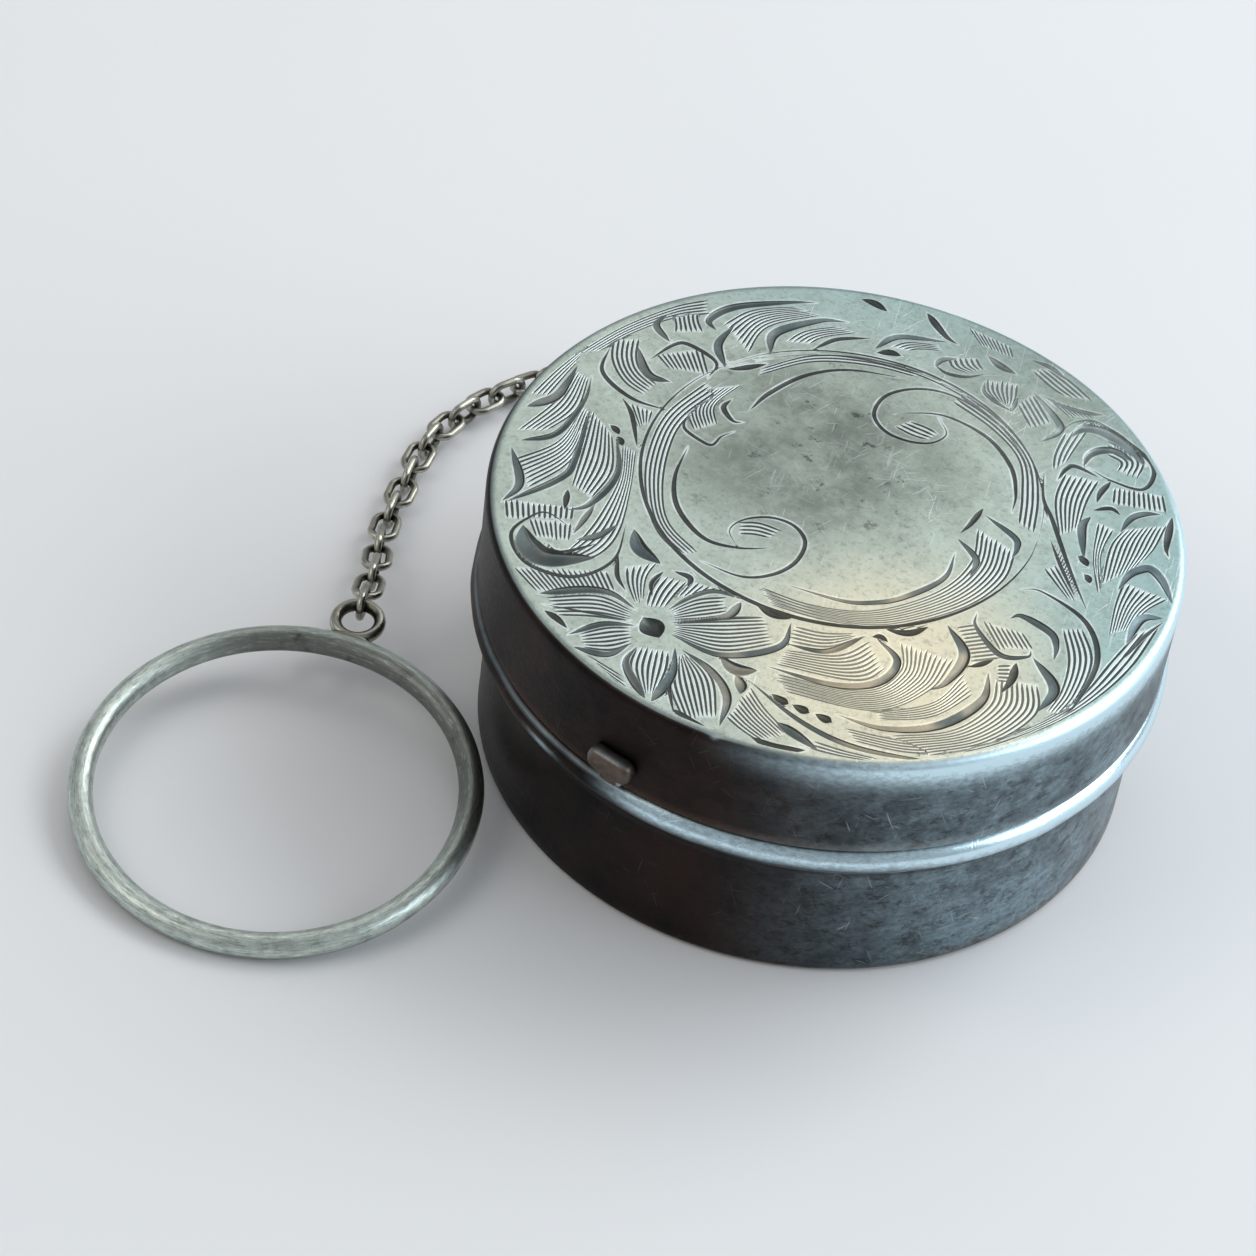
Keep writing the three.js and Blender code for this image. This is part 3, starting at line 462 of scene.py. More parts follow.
def rounded(corners, closed=False, steps=5):
    """Outline through (r, z, rounding) corners, each rounded off by its own amount."""
    found = []
    count = len(corners)
    for i, (r, z, rounding) in enumerate(corners):
        here = Vector((r, z))
        inner = closed or 0 < i < count - 1
        if not rounding or not inner:
            found.append((r, z))
            continue
        back = Vector(corners[i - 1][:2]) - here
        ahead = Vector(corners[(i + 1) % count][:2]) - here
        start = here + back.normalized() * rounding
        end = here + ahead.normalized() * rounding
        middle = (back.normalized() + ahead.normalized()).normalized()
        half = back.angle(ahead) / 2
        centre = here + middle * rounding / math.cos(half)
        radius = rounding * math.tan(half)
        for k in range(steps + 1):
            chord = start.lerp(end, k / steps)
            found.append(tuple(centre + (chord - centre).normalized() * radius))
    return found


def refined(outline, longest):
    """The outline with points added, so that no step is longer than that."""
    found = [outline[0]]
    for (r0, z0), (r1, z1) in zip(outline, outline[1:]):
        parts = max(1, math.ceil(math.hypot(r1 - r0, z1 - z0) / longest))
        found += [(r0 + (r1 - r0) * k / parts, z0 + (z1 - z0) * k / parts) for k in range(1, parts + 1)]
    return found


def turned(outline, sides, closed=False):
    """Turns an outline about the Z axis. Each of its points has its own number of sides,
    and neighbours may differ by a factor of two. Returns points, triangles and ring numbers."""
    points, triangles, rings, starts = [], [], [], []
    for i, ((r, z), n) in enumerate(zip(outline, sides)):
        n = 1 if r < 1e-6 else n
        angle = np.arange(n) * 2 * math.pi / n
        starts.append((sum(map(len, points)), n))
        points.append(np.stack([r * np.cos(angle), r * np.sin(angle), np.full(n, z)], axis=1))
        rings.append(np.full(n, i))
    pairs = list(zip(starts, starts[1:]))
    if closed:
        pairs.append((starts[-1], starts[0]))
    for (a, na), (b, nb) in pairs:
        fine = max(na, nb)
        j = np.arange(fine)
        a0, a1 = a + j * na // fine, a + (j + 1) % fine * na // fine
        b0, b1 = b + j * nb // fine, b + (j + 1) % fine * nb // fine
        both = [np.stack([a0, b0, b1], axis=1), np.stack([a0, b1, a1], axis=1)]
        triangles += [t[(t[:, 0] != t[:, 1]) & (t[:, 1] != t[:, 2]) & (t[:, 2] != t[:, 0])] for t in both]
    return np.vstack(points), np.vstack(triangles), np.concatenate(rings)


def mesh_points(mesh):
    return np.array([v.co for v in mesh.vertices]) / MM


def middle_of(points):
    return (points.max(0) + points.min(0)) / 2


def new_object(name, data):
    made = bpy.data.objects.new(name, data)
    bpy.context.scene.collection.objects.link(made)
    return made


def set_values(mesh, values):
    """Numbers that the points of a mesh carry for its material."""
    for key, numbers in values.items():
        attribute = mesh.attributes.new(key, "FLOAT", "POINT")
        attribute.data.foreach_set("value", np.asarray(numbers, np.float32))


def finish_piece(piece, material, body, node):
    """Dresses a smooth piece that stands for a CAD node and rides on its body."""
    piece.data.materials.clear()
    piece.data.materials.append(material)
    piece.data.shade_smooth()
    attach(piece, body)
    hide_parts(node)


def make_piece(name, points, faces, material, body, node, values=None):
    """A piece from points in mm and the values that they carry."""
    mesh = bpy.data.meshes.new(name)
    mesh.from_pydata(np.asarray(points) * MM, [], np.asarray(faces))
    set_values(mesh, values or {})
    finish_piece(new_object(name, mesh), material, body, node)


# Materials
NUMBER = "NodeSocketFloat"
ARROW = "NodeSocketVector"


class Sheet:
    """A node tree that is filled by short calls. Most return the output of the node that they add."""

    def __init__(self, tree):
        self.tree = tree

    def add(self, kind, inputs=None, out=0, **settings):
        node = self.tree.nodes.new(kind)
        for key, value in settings.items():
            setattr(node, key, value)
        for key, value in (inputs or {}).items():
            self.put(node.inputs[key], value)
        return node.outputs[out]

    def put(self, socket, value):
        if isinstance(value, bpy.types.NodeSocket):
            self.tree.links.new(value, socket)
        else:
            socket.default_value = value

    def math(self, operation, a, b=0.0, clamp=False):
        return self.add("ShaderNodeMath", {0: a, 1: b}, operation=operation, use_clamp=clamp)

    def times(self, a, b, clamp=False):
        return self.math("MULTIPLY", a, b, clamp)

    def plus(self, a, b):
        return self.math("ADD", a, b)

    def minus(self, a, b, clamp=False):
        return self.math("SUBTRACT", a, b, clamp)

    def over(self, a, b):
        return self.math("DIVIDE", a, b)

    def most(self, a, b):
        return self.math("MAXIMUM", a, b)

    def least(self, a, b):
        return self.math("MINIMUM", a, b)

    def ramp(self, value, low, high, start=0.0, end=1.0):
        inputs = {"Value": value, "From Min": low, "From Max": high, "To Min": start, "To Max": end}
        return self.add("ShaderNodeMapRange", inputs, interpolation_type="SMOOTHSTEP")

    def mix(self, share, a, b):
        return self.add("ShaderNodeMix", {0: share, 6: a, 7: b}, out=2, data_type="RGBA")

    def read(self, name):
        return self.add("ShaderNodeAttribute", out=2, attribute_name=name)

    def noise(self, place, scale, detail=4.0, roughness=0.55):
        inputs = {"Vector": place, "Scale": scale, "Detail": detail, "Roughness": roughness}
        return self.add("ShaderNodeTexNoise", inputs)

    def stretch(self, place, by):
        return self.add("ShaderNodeVectorMath", {0: place, 1: by}, operation="MULTIPLY")

    def bump(self, strength, distance, height):
        return self.add("ShaderNodeBump", {"Strength": strength, "Distance": distance, "Height": height})

    def place(self):
        """Object coordinates in millimetres."""
        raw = self.add("ShaderNodeTexCoord", out=3)
        return self.add("ShaderNodeVectorMath", {0: raw, "Scale": 1 / MM}, operation="SCALE")


def node_group(name, inputs, outputs):
    tree = bpy.data.node_groups.new(name, "ShaderNodeTree")
    for label, kind, value in inputs:
        socket = tree.interface.new_socket(label, in_out="INPUT", socket_type=kind)
        if value is not None:
            socket.default_value = value
    for label, kind in outputs:
        tree.interface.new_socket(label, in_out="OUTPUT", socket_type=kind)
    entry = tree.nodes.new("NodeGroupInput")
    leave = tree.nodes.new("NodeGroupOutput")
    return Sheet(tree), entry.outputs, leave.inputs


def place_group(sheet, tree, inputs):
    node = sheet.tree.nodes.new("ShaderNodeGroup")
    node.node_tree = tree
    for key, value in inputs.items():
        sheet.put(node.inputs[key], value)
    return node.outputs


def make_scratches():
    """Fine hairline scratches in several directions, denser in some places than in others."""
    inputs = [("Place", ARROW, None), ("Spacing", NUMBER, 1.0), ("Share", NUMBER, 0.5)]
    sheet, given, made = node_group("hairline scratches", inputs, [("Mask", NUMBER)])
    total = None
    for turn, stretch in ((0.2, 14.0), (0.85, 10.0), (1.45, 19.0), (2.1, 12.0), (2.75, 16.0)):
        turned_place = sheet.add(
            "ShaderNodeVectorRotate", {"Vector": given["Place"], "Angle": turn}, rotation_type="Z_AXIS"
        )
        drawn = sheet.stretch(turned_place, (1.0, 1 / stretch, 0.35))
        grain = sheet.noise(drawn, given["Spacing"], detail=1.0, roughness=0.6)
        low = sheet.minus(0.76, sheet.times(given["Share"], 0.14))
        line = sheet.ramp(grain, low, sheet.plus(low, 0.06))
        total = line if total is None else sheet.most(total, line)
    dense = sheet.ramp(sheet.noise(given["Place"], 0.3, detail=2.0), 0.38, 0.62, 0.15, 1.0)
    sheet.put(made["Mask"], sheet.times(total, dense))
    return sheet.tree


def make_mottling():
    """Cloudy patches with a ragged edge, as tarnish grows."""
    inputs = [("Place", ARROW, None), ("Size", NUMBER, 1.0), ("Share", NUMBER, 0.5), ("Edge", NUMBER, 0.12)]
    sheet, given, made = node_group("mottling", inputs, [("Mask", NUMBER)])
    broad = sheet.noise(given["Place"], sheet.over(1.0, given["Size"]), detail=3.0, roughness=0.6)
    ragged = sheet.noise(given["Place"], sheet.over(4.5, given["Size"]), detail=5.0, roughness=0.65)
    both = sheet.plus(sheet.times(broad, 0.62), sheet.times(ragged, 0.38))
    level = sheet.minus(0.75, sheet.times(given["Share"], 0.5))
    low = sheet.minus(level, given["Edge"])
    high = sheet.plus(level, given["Edge"])
    sheet.put(made["Mask"], sheet.ramp(both, low, high))
    return sheet.tree


def make_engraving():
    """Cuts, hatching and the painted highlight beside them, from the values that the lid's points carry.
    Heights are in mm.
    """
    inputs = [("Place", ARROW, None)]
    outputs = [("Dark", NUMBER), ("Facet", NUMBER), ("Line", NUMBER), ("Highlight", NUMBER), ("Height", NUMBER)]
    sheet, given, made = node_group("engraving", inputs, outputs)
    off, half, facet = sheet.read("cut_off"), sheet.read("cut_half"), sheet.read("cut_facet")
    beyond = sheet.minus(sheet.math("ABSOLUTE", off), half)
    room = sheet.read("cut_room")
    cut = sheet.times(sheet.ramp(beyond, -0.025, 0.012, 1.0, 0.0), sheet.ramp(room, -0.09, -0.03))
    # Painted highlight: a bright line just outside the edge of each cut
    lip = sheet.times(sheet.ramp(beyond, 0.03, 0.13, 1.0, 0.0), sheet.ramp(room, -0.2, -0.12))
    across = sheet.over(off, half)
    steep = sheet.ramp(across, 0.4, 0.62)
    plain = sheet.minus(1.0, facet)
    dark = sheet.times(cut, sheet.most(plain, steep))
    smooth = sheet.times(cut, sheet.minus(1.0, sheet.most(plain, steep)))
    smooth = sheet.times(smooth, sheet.ramp(across, -1.1, -0.75, 0.6, 1.0))
    gentle = sheet.over(sheet.plus(1.0, across), 1.5)
    sharp = sheet.over(sheet.minus(1.0, across), 0.5)
    valley = sheet.times(sheet.least(gentle, sharp), cut, clamp=True)
    depth = sheet.times(sheet.times(valley, half), 0.12)
    number, pitch = sheet.read("hatch_line"), sheet.read("hatch_pitch")
    within, ends = sheet.read("hatch_within"), sheet.read("hatch_end")
    press = sheet.ramp(sheet.noise(given["Place"], 0.9, detail=2.0), 0.3, 0.7, 0.054, 0.08)

    def lines(every):
        """Fine lines that swell from their ends, each starting at a place of its own."""
        shifted = sheet.over(sheet.plus(number, (every - 1) / 2), every)
        share = sheet.math("ABSOLUTE", sheet.minus(sheet.math("FRACT", shifted), 0.5))
        away = sheet.times(sheet.times(share, every), pitch)
        chance = sheet.add(
            "ShaderNodeTexWhiteNoise", {"W": sheet.math("FLOOR", shifted)}, noise_dimensions="1D"
        )
        run = sheet.minus(ends, sheet.times(chance, 0.5))
        widest = sheet.least(press, sheet.times(pitch, 0.24 * every))
        width = sheet.times(widest, sheet.ramp(run, 0.0, 1.0, 0.3, 1.0))
        line = sheet.ramp(away, sheet.minus(width, 0.02), sheet.plus(width, 0.02), 1.0, 0.0)
        return sheet.times(line, sheet.ramp(run, 0.0, 0.25))

    def choose(share, a, b):
        return sheet.add("ShaderNodeMix", {0: share, 2: a, 3: b}, data_type="FLOAT")

    few = choose(sheet.ramp(pitch, 0.04, 0.055), lines(4.0), lines(2.0))
    line = choose(sheet.ramp(pitch, 0.085, 0.11), few, lines(1.0))
    line = sheet.times(line, sheet.ramp(within, 0.0, 0.2))
    drawn = sheet.times(line, sheet.minus(1.0, cut))
    depth = sheet.plus(depth, sheet.times(drawn, 0.02))
    # Painted highlight on the metal between the fine lines
    between = sheet.times(sheet.ramp(ends, 0.1, 0.6), sheet.minus(1.0, line))
    between = sheet.times(between, sheet.ramp(within, 0.0, 0.5))
    uneven_highlight = sheet.ramp(sheet.noise(given["Place"], 0.6, detail=2.0), 0.4, 0.65, 0.1, 0.9)
    lip = sheet.times(lip, uneven_highlight)
    results = {
        "Dark": dark, "Facet": smooth, "Line": drawn, "Height": sheet.minus(0.0, depth),
        "Highlight": sheet.most(lip, sheet.times(between, 0.8)),
    }
    for label, value in results.items():
        sheet.put(made[label], value)
    return sheet.tree


def make_wall_place():
    """Unrolls a round wall: distance along it, height and nothing. The seam lies at the hinge."""
    sheet, given, made = node_group("wall place", [("Place", ARROW, None)], [("Place", ARROW)])
    split = sheet.tree.nodes.new("ShaderNodeSeparateXYZ")
    sheet.put(split.inputs[0], given["Place"])
    x, y, z = split.outputs
    turn = sheet.math("ARCTAN2", x, sheet.minus(0.0, y))
    radius = sheet.math("SQRT", sheet.plus(sheet.times(x, x), sheet.times(y, y)))
    along = sheet.times(turn, LID_RADIUS)
    rolled = sheet.add("ShaderNodeCombineXYZ", {0: along, 1: sheet.minus(z, radius)})
    sheet.put(made["Place"], rolled)
    return sheet.tree


SCRATCHES = make_scratches()
WALL_PLACE = make_wall_place()
MOTTLING = make_mottling()
ENGRAVING = make_engraving()


def mottled(sheet, place, size, share, edge):
    inputs = {"Place": place, "Size": size, "Share": share, "Edge": edge}
    return place_group(sheet, MOTTLING, inputs)["Mask"]


def scratched(sheet, place, spacing, share):
    return place_group(sheet, SCRATCHES, {"Place": place, "Spacing": spacing, "Share": share})["Mask"]


def new_material(name):
    material = bpy.data.materials.new(name)
    material.use_nodes = True
    material.node_tree.nodes.clear()
    return material, Sheet(material.node_tree)


def close_material(sheet, **inputs):
    shader = sheet.add("ShaderNodeBsdfPrincipled", {key.replace("_", " "): v for key, v in inputs.items()})
    output = sheet.tree.nodes.new("ShaderNodeOutputMaterial")
    sheet.put(output.inputs["Surface"], shader)


PALE = (0.55, 0.64, 0.575, 1)
# Painted cool reflection on the engraved top
COOL_REFLECTION = (0.31, 0.50, 0.53, 1)
SMUDGE = (0.18, 0.215, 0.185, 1)
# A warm tone inside the lid, and a painted warm reflection on the engraved top
WARM_TONE_AND_REFLECTION = (0.88, 0.80, 0.59, 1)
# Painted highlight beside the cuts, where the warm reflection is painted
WARM_HIGHLIGHT = (0.98, 0.92, 0.72, 1)
# Cut facets: painted shade, and painted sheen that is dull, cool or warm
SHADED_FACET = (0.05, 0.07, 0.078, 1)
DULL_FACET_SHEEN = (0.14, 0.145, 0.125, 1)
COOL_FACET_SHEEN = (0.17, 0.25, 0.28, 1)
WARM_FACET_SHEEN = (0.45, 0.37, 0.26, 1)
CUT_LINE = (0.035, 0.04, 0.038, 1)
BLACKENED = (0.012, 0.0115, 0.0115, 1)
BROWNED = (0.034, 0.021, 0.018, 1)
COPPERY = (0.17, 0.095, 0.055, 1)
# Rubbed silver, lighter and bluish as painted light and painted reflection
RUBBED_AND_LIT = (0.31, 0.43, 0.49, 1)
# Bare worn silver, and the painted highlight on lit edges
WORN_EDGE_AND_HIGHLIGHT = (0.66, 0.85, 0.93, 1)
BRIGHT = (0.78, 0.86, 0.86, 1)
WIRE_PALE = (0.58, 0.65, 0.60, 1)
WIRE_DULL = (0.52, 0.51, 0.43, 1)
WIRE_GLINT = (0.84, 0.88, 0.82, 1)
GLASS = (0.86, 0.88, 0.88, 1)
FLOOR_DULL = (0.80, 0.81, 0.82, 1)
FLOOR_PALE = (0.84, 0.84, 0.84, 1)


def turn_to_part(x, y):
    """A place in the engraving's drawing, in the part's frame."""
    c, s = math.cos(ENGRAVING_TURN), math.sin(ENGRAVING_TURN)
    return (c * x - s * y, s * x + c * y)


def nearness(sheet, place, spot, inner, outer):
    """1 close to a spot on the lid, falling to 0."""
    middle = (*turn_to_part(*spot), LID_TOP)
    away = sheet.add("ShaderNodeVectorMath", {0: place, 1: middle}, out=1, operation="DISTANCE")
    return sheet.ramp(away, inner, outer, 1.0, 0.0)


def toward(sheet, place, direction, start, end):
    """0 to 1 across the box, in a direction of the engraving's drawing."""
    bearing = sheet.add(
        "ShaderNodeVectorMath", {0: place, 1: (*turn_to_part(*direction), 0)}, out=1, operation="DOT_PRODUCT"
    )
    return sheet.ramp(bearing, start * LID_RADIUS, end * LID_RADIUS)


def aged_colour(sheet, place):
    """Blackened silver, rubbed bright in streaky patches and where it is worn, with painted light: the
    patches show only on the side toward the lamps, bluish as a painted reflection, and painted highlights
    lie along some edges.
    """
    wrapped = place_group(sheet, WALL_PLACE, {"Place": place})["Place"]
    streaked = sheet.stretch(wrapped, (0.8, 1.25, 1.0))
    broad = mottled(sheet, place, 6.0, 0.5, 0.16)
    fine = mottled(sheet, streaked, 0.34, 0.5, 0.2)
    # Painted light: the side toward the lamps is lighter, a little less so at its far end
    far_end = sheet.times(toward(sheet, place, (1, -0.1), 0.8, 1.05), 0.4)
    side = sheet.minus(toward(sheet, place, (1, -0.1), -0.2, 0.85), far_end)
    pits = mottled(sheet, streaked, 0.9, 0.38, 0.07)
    uneven_rub = sheet.ramp(broad, 0.0, 1.0, 0.4, 1.0)
    patches = sheet.times(uneven_rub, sheet.ramp(fine, 0.0, 1.0, 0.55, 1.0))
    patches = sheet.times(patches, sheet.ramp(pits, 0.0, 1.0, 1.0, 0.45))
    # Rubbed patches, shown only on the lit side, as painted light
    rubbed = sheet.times(side, patches)
    colour = sheet.mix(rubbed, sheet.mix(broad, BLACKENED, BROWNED), RUBBED_AND_LIT)
    browned = sheet.times(sheet.read("brown"), sheet.ramp(fine, 0.0, 1.0, 0.4, 0.9))
    colour = sheet.mix(browned, colour, COPPERY)
    # Worn bare metal and nicks, with painted highlights, from the points' values
    bare_and_highlit = sheet.times(sheet.read("wear_and_highlight"), sheet.ramp(fine, 0.0, 1.0, 0.6, 1.0), clamp=True)
    nicked_and_highlit = sheet.times(sheet.read("nick_and_highlight"), sheet.ramp(broad, 0.0, 1.0, 0.5, 1.0))
    bare_and_highlit = sheet.most(bare_and_highlit, nicked_and_highlit)
    colour = sheet.mix(bare_and_highlit, colour, WORN_EDGE_AND_HIGHLIGHT)
    hair = scratched(sheet, wrapped, 5.0, 0.42)
    # Scratches show more on the lit side, as painted light
    colour = sheet.mix(sheet.times(hair, sheet.ramp(side, 0.0, 0.5, 0.02, 0.26)), colour, BRIGHT)
    tarnish = sheet.minus(1.0, sheet.most(rubbed, bare_and_highlit), clamp=True)
    return colour, tarnish, fine, hair


def top_colour(sheet, place, engraving):
    """Pale engraved silver, smudged in the plain field, with painted reflections: cool at the far side and
    warm in front.
    """
    cloud = mottled(sheet, place, 4.0, 0.5, 0.2)
    specks = mottled(sheet, place, 1.2, 0.27, 0.04)
    in_field = nearness(sheet, place, (-1.5, 4.5), 3.0, 10.5)
    # Painted warm reflection of a lamp on the front of the top; stains, lines and highlights are softened
    # inside it
    warm_reflection = nearness(sheet, place, (3.0, -11.0), 2.0, 11.0)
    # Painted cool reflection: bluish toward the right and the far side of the top, and on the facets there
    cool_reflection_right = toward(sheet, place, (1, -0.15), 0.35, 1.0)
    cool_reflection = sheet.most(cool_reflection_right, toward(sheet, place, (0.2, 1), 0.5, 1.2))
    colour = sheet.mix(sheet.times(cool_reflection, 0.75), PALE, COOL_REFLECTION)
    colour = sheet.mix(sheet.times(warm_reflection, 0.9), colour, WARM_TONE_AND_REFLECTION)
    dull = sheet.ramp(cloud, 0.0, 1.0, 0.5, 1.0)
    far_corner = nearness(sheet, place, (10.5, 11.5), 1.0, 9.0)
    far_dull = sheet.times(far_corner, 0.5)
    most_dull = sheet.most(sheet.times(in_field, 0.9), far_dull)
    dull = sheet.times(dull, sheet.plus(0.08, most_dull), clamp=True)
    colour = sheet.mix(dull, colour, SMUDGE)
    specks = sheet.times(specks, sheet.times(in_field, 0.85))
    colour = sheet.mix(specks, colour, BLACKENED)
    grain = sheet.noise(place, 4.0, detail=5.0, roughness=0.7)
    colour = sheet.mix(sheet.ramp(grain, 0.48, 0.72, 0.0, 0.5), colour, SMUDGE)
    stain = mottled(sheet, place, 2.4, 0.42, 0.13)
    stain = sheet.times(stain, sheet.ramp(warm_reflection, 0.0, 0.8, 0.32, 0.05))
    colour = sheet.mix(stain, colour, SMUDGE)
    top_hair = scratched(sheet, place, 6.0, 0.62)
    colour = sheet.mix(sheet.times(top_hair, 0.2), colour, BRIGHT)
    crisp = sheet.ramp(far_corner, 0.0, 1.0, 0.9, 0.55)
    # Painted highlight along the cuts and between the fine lines, bright or warm
    ridge_highlight = sheet.times(engraving["Highlight"], crisp)
    colour = sheet.mix(ridge_highlight, colour, sheet.mix(warm_reflection, BRIGHT, WARM_HIGHLIGHT))
    # The facets are painted: dark as painted shade, with patches of painted sheen, cool or warm where those
    # reflections are painted
    facet_sheen = sheet.ramp(sheet.noise(place, 0.3, detail=2.0), 0.42, 0.62, 0.0, 0.85)
    sheen_colour = sheet.mix(warm_reflection, sheet.mix(cool_reflection, DULL_FACET_SHEEN, COOL_FACET_SHEEN), WARM_FACET_SHEEN)
    facet = sheet.mix(facet_sheen, SHADED_FACET, sheen_colour)
    colour = sheet.mix(sheet.times(engraving["Facet"], crisp), colour, facet)
    colour = sheet.mix(sheet.times(engraving["Dark"], crisp), colour, BLACKENED)
    inked = sheet.least(crisp, sheet.ramp(warm_reflection, 0.0, 1.0, 0.9, 0.65))
    colour = sheet.mix(sheet.times(engraving["Line"], inked), colour, CUT_LINE)
    return colour, grain, top_hair


def engraved_silver():
    material, sheet = new_material("engraved silver")
    place = sheet.place()
    aged, tarnish, fine, hair = aged_colour(sheet, place)
    engraving = place_group(sheet, ENGRAVING, {"Place": place})
    top, grain, top_hair = top_colour(sheet, place, engraving)
    wall = sheet.read("wall")
    colour = sheet.mix(wall, top, aged)
    rough = sheet.plus(0.32, sheet.times(fine, 0.1))
    rough = sheet.plus(rough, sheet.times(sheet.times(wall, tarnish), 0.08))
    rough = sheet.plus(rough, sheet.times(engraving["Facet"], 0.1))
    nicks = sheet.most(sheet.times(hair, wall), top_hair)
    height = sheet.plus(engraving["Height"], sheet.times(grain, 0.012))
    height = sheet.minus(height, sheet.times(nicks, 0.004))
    bump = sheet.bump(1.0, MM, height)
    close_material(sheet, Base_Color=colour, Metallic=1.0, Roughness=rough, Normal=bump)
    return material


def aged_silver():
    material, sheet = new_material("aged silver")
    place = sheet.place()
    colour, tarnish, fine, hair = aged_colour(sheet, place)
    rough = sheet.plus(0.2, sheet.times(tarnish, 0.18))
    rough = sheet.plus(rough, sheet.times(fine, 0.08))
    grain = sheet.noise(place, 7.0, detail=4.0)
    height = sheet.minus(sheet.times(grain, 0.3), sheet.times(hair, 0.25))
    bump = sheet.bump(0.6, 0.03 * MM, height)
    close_material(sheet, Base_Color=colour, Metallic=1.0, Roughness=rough, Normal=bump)
    return material


def inner_silver():
    material, sheet = new_material("inner silver")
    place = sheet.place()
    cloud = mottled(sheet, place, 4.0, 0.42, 0.2)
    hair = scratched(sheet, place, 2.6, 0.4)
    colour = sheet.mix(sheet.times(cloud, 0.6), BRIGHT, WARM_TONE_AND_REFLECTION)
    colour = sheet.mix(sheet.times(hair, 0.3), colour, SMUDGE)
    rough = sheet.plus(0.26, sheet.times(cloud, 0.14))
    bump = sheet.bump(0.4, 0.02 * MM, hair)
    close_material(sheet, Base_Color=colour, Metallic=1.0, Roughness=rough, Normal=bump)
    return material


def wire_silver(name, tone, grime_share, rough_from):
    """Drawn wire with fine lengthwise grain, darkened by mottled grime and by the share that its points
    carry, which is painted shade on the ring and the eyes.
    """
    material, sheet = new_material(name)
    place = sheet.place()
    grime_and_shade = mottled(sheet, place, 1.2, grime_share, 0.2)
    strand = sheet.add("ShaderNodeCombineXYZ", {0: sheet.read("along"), 1: sheet.read("around")})
    drawn = sheet.stretch(strand, (0.8, 6.0, 1.0))
    streak = sheet.noise(drawn, 1.6, detail=4.0, roughness=0.7)
    # Darkening from the points' values, painted shade on the ring and the eyes, broken up by the grime
    # mottling
    grime_and_shade_mask = sheet.times(sheet.read("grime_and_shade"), sheet.ramp(grime_and_shade, 0.0, 1.0, 0.75, 1.0))
    colour = sheet.mix(sheet.most(sheet.times(grime_and_shade, 0.5), grime_and_shade_mask), tone, BROWNED)
    colour = sheet.mix(sheet.ramp(streak, 0.5, 0.68, 0.0, 0.7), colour, SMUDGE)
    bright_streak = sheet.ramp(streak, 0.48, 0.32, 0.0, 0.75)
    bright_streak = sheet.times(bright_streak, sheet.minus(1.0, grime_and_shade_mask, clamp=True))
    colour = sheet.mix(bright_streak, colour, WIRE_GLINT)
    rough = sheet.plus(rough_from, sheet.times(streak, 0.2))
    bump = sheet.bump(0.7, 0.02 * MM, streak)
    close_material(sheet, Base_Color=colour, Metallic=1.0, Roughness=rough, Normal=bump)
    return material


def mirror_glass():
    material, sheet = new_material("mirror glass")
    place = sheet.place()
    spots = mottled(sheet, place, 1.8, 0.16, 0.05)
    edge = sheet.read("wear_and_highlight")
    foxed = sheet.times(spots, sheet.plus(0.15, edge), clamp=True)
    colour = sheet.mix(foxed, GLASS, BROWNED)
    rough = sheet.plus(0.03, sheet.times(foxed, 0.3))
    close_material(sheet, Base_Color=colour, Metallic=1.0, Roughness=rough)
    return material


ENGRAVED_SILVER = engraved_silver()
AGED_SILVER = aged_silver()
INNER_SILVER = inner_silver()
RING_SILVER = wire_silver("ring silver", WIRE_PALE, 0.3, 0.3)
CHAIN_SILVER = wire_silver("chain silver", WIRE_DULL, 0.5, 0.2)
MIRROR_GLASS = mirror_glass()


# Box
def uneven(points, amount):
    """Slow waves in a hand-finished, much-carried wall, as a change of radius in mm."""
    angle = np.arctan2(points[:, 1], points[:, 0])
    slow = np.sin(3 * angle + 0.7) + 0.6 * np.sin(5 * angle - 0.3 * points[:, 2])
    return amount * (slow + 0.4 * np.sin(9 * angle + 2.1))


def in_drawing(points):
    """Places on the box as the engraving's drawing counts them."""
    c, s = math.cos(-ENGRAVING_TURN), math.sin(-ENGRAVING_TURN)
    return np.stack([c * points[:, 0] - s * points[:, 1], s * points[:, 0] + c * points[:, 1]], axis=1)


def eased(value, start, end):
    """0 to 1 as the value goes from start to end."""
    share = np.clip((value - start) / (end - start), 0, 1)
    return share * share * (3 - 2 * share)


def bell(value, width):
    return np.exp(-((value / width) ** 2))


def push_out(points, change):
    radius = np.hypot(points[:, 0], points[:, 1])
    scale = 1 + change / np.maximum(radius, 1e-6)
    return points * np.stack([scale, scale, np.ones(len(points))], axis=1)


def lid_outline():
    """From the middle of the top, down the wall and up to the middle of the ceiling: the outline, the
    sides of each of its rings, and the number of rings on the engraved top, which are the finest."""
    inside = LID_RADIUS - SHEET
    ceiling = LID_TOP - SHEET
    flat = LID_RADIUS - LID_EDGE
    radii = np.linspace(0, flat, int(flat / ENGRAVED_STEP) + 1)
    top = [(r, LID_TOP) for r in radii]
    doublings = np.ceil(np.log2(2 * math.pi * np.maximum(radii, 0.01) / ENGRAVED_ARC / MIDDLE_SIDES))
    top_sides = [MIDDLE_SIDES * 2 ** max(0, int(n)) for n in doublings]
    edge = arc(flat, LID_TOP - LID_EDGE, LID_EDGE, 90, 0, 8)[1:]
    corners = [
        (*edge[-1], 0), (LID_RADIUS, LID_RIM, 0.12), (inside, LID_RIM, 0.12), (inside, ceiling, 0.3),
        (0, ceiling, 0),
    ]
    wall = refined(rounded(corners)[:-1], 0.5)[1:] + [(0, ceiling)]
    wall_sides = [top_sides[-1] // 2] + [WALL_SIDES] * (len(wall) - 1)
    sides = top_sides + [top_sides[-1]] * len(edge) + wall_sides
    return top + edge + wall, sides, len(top)


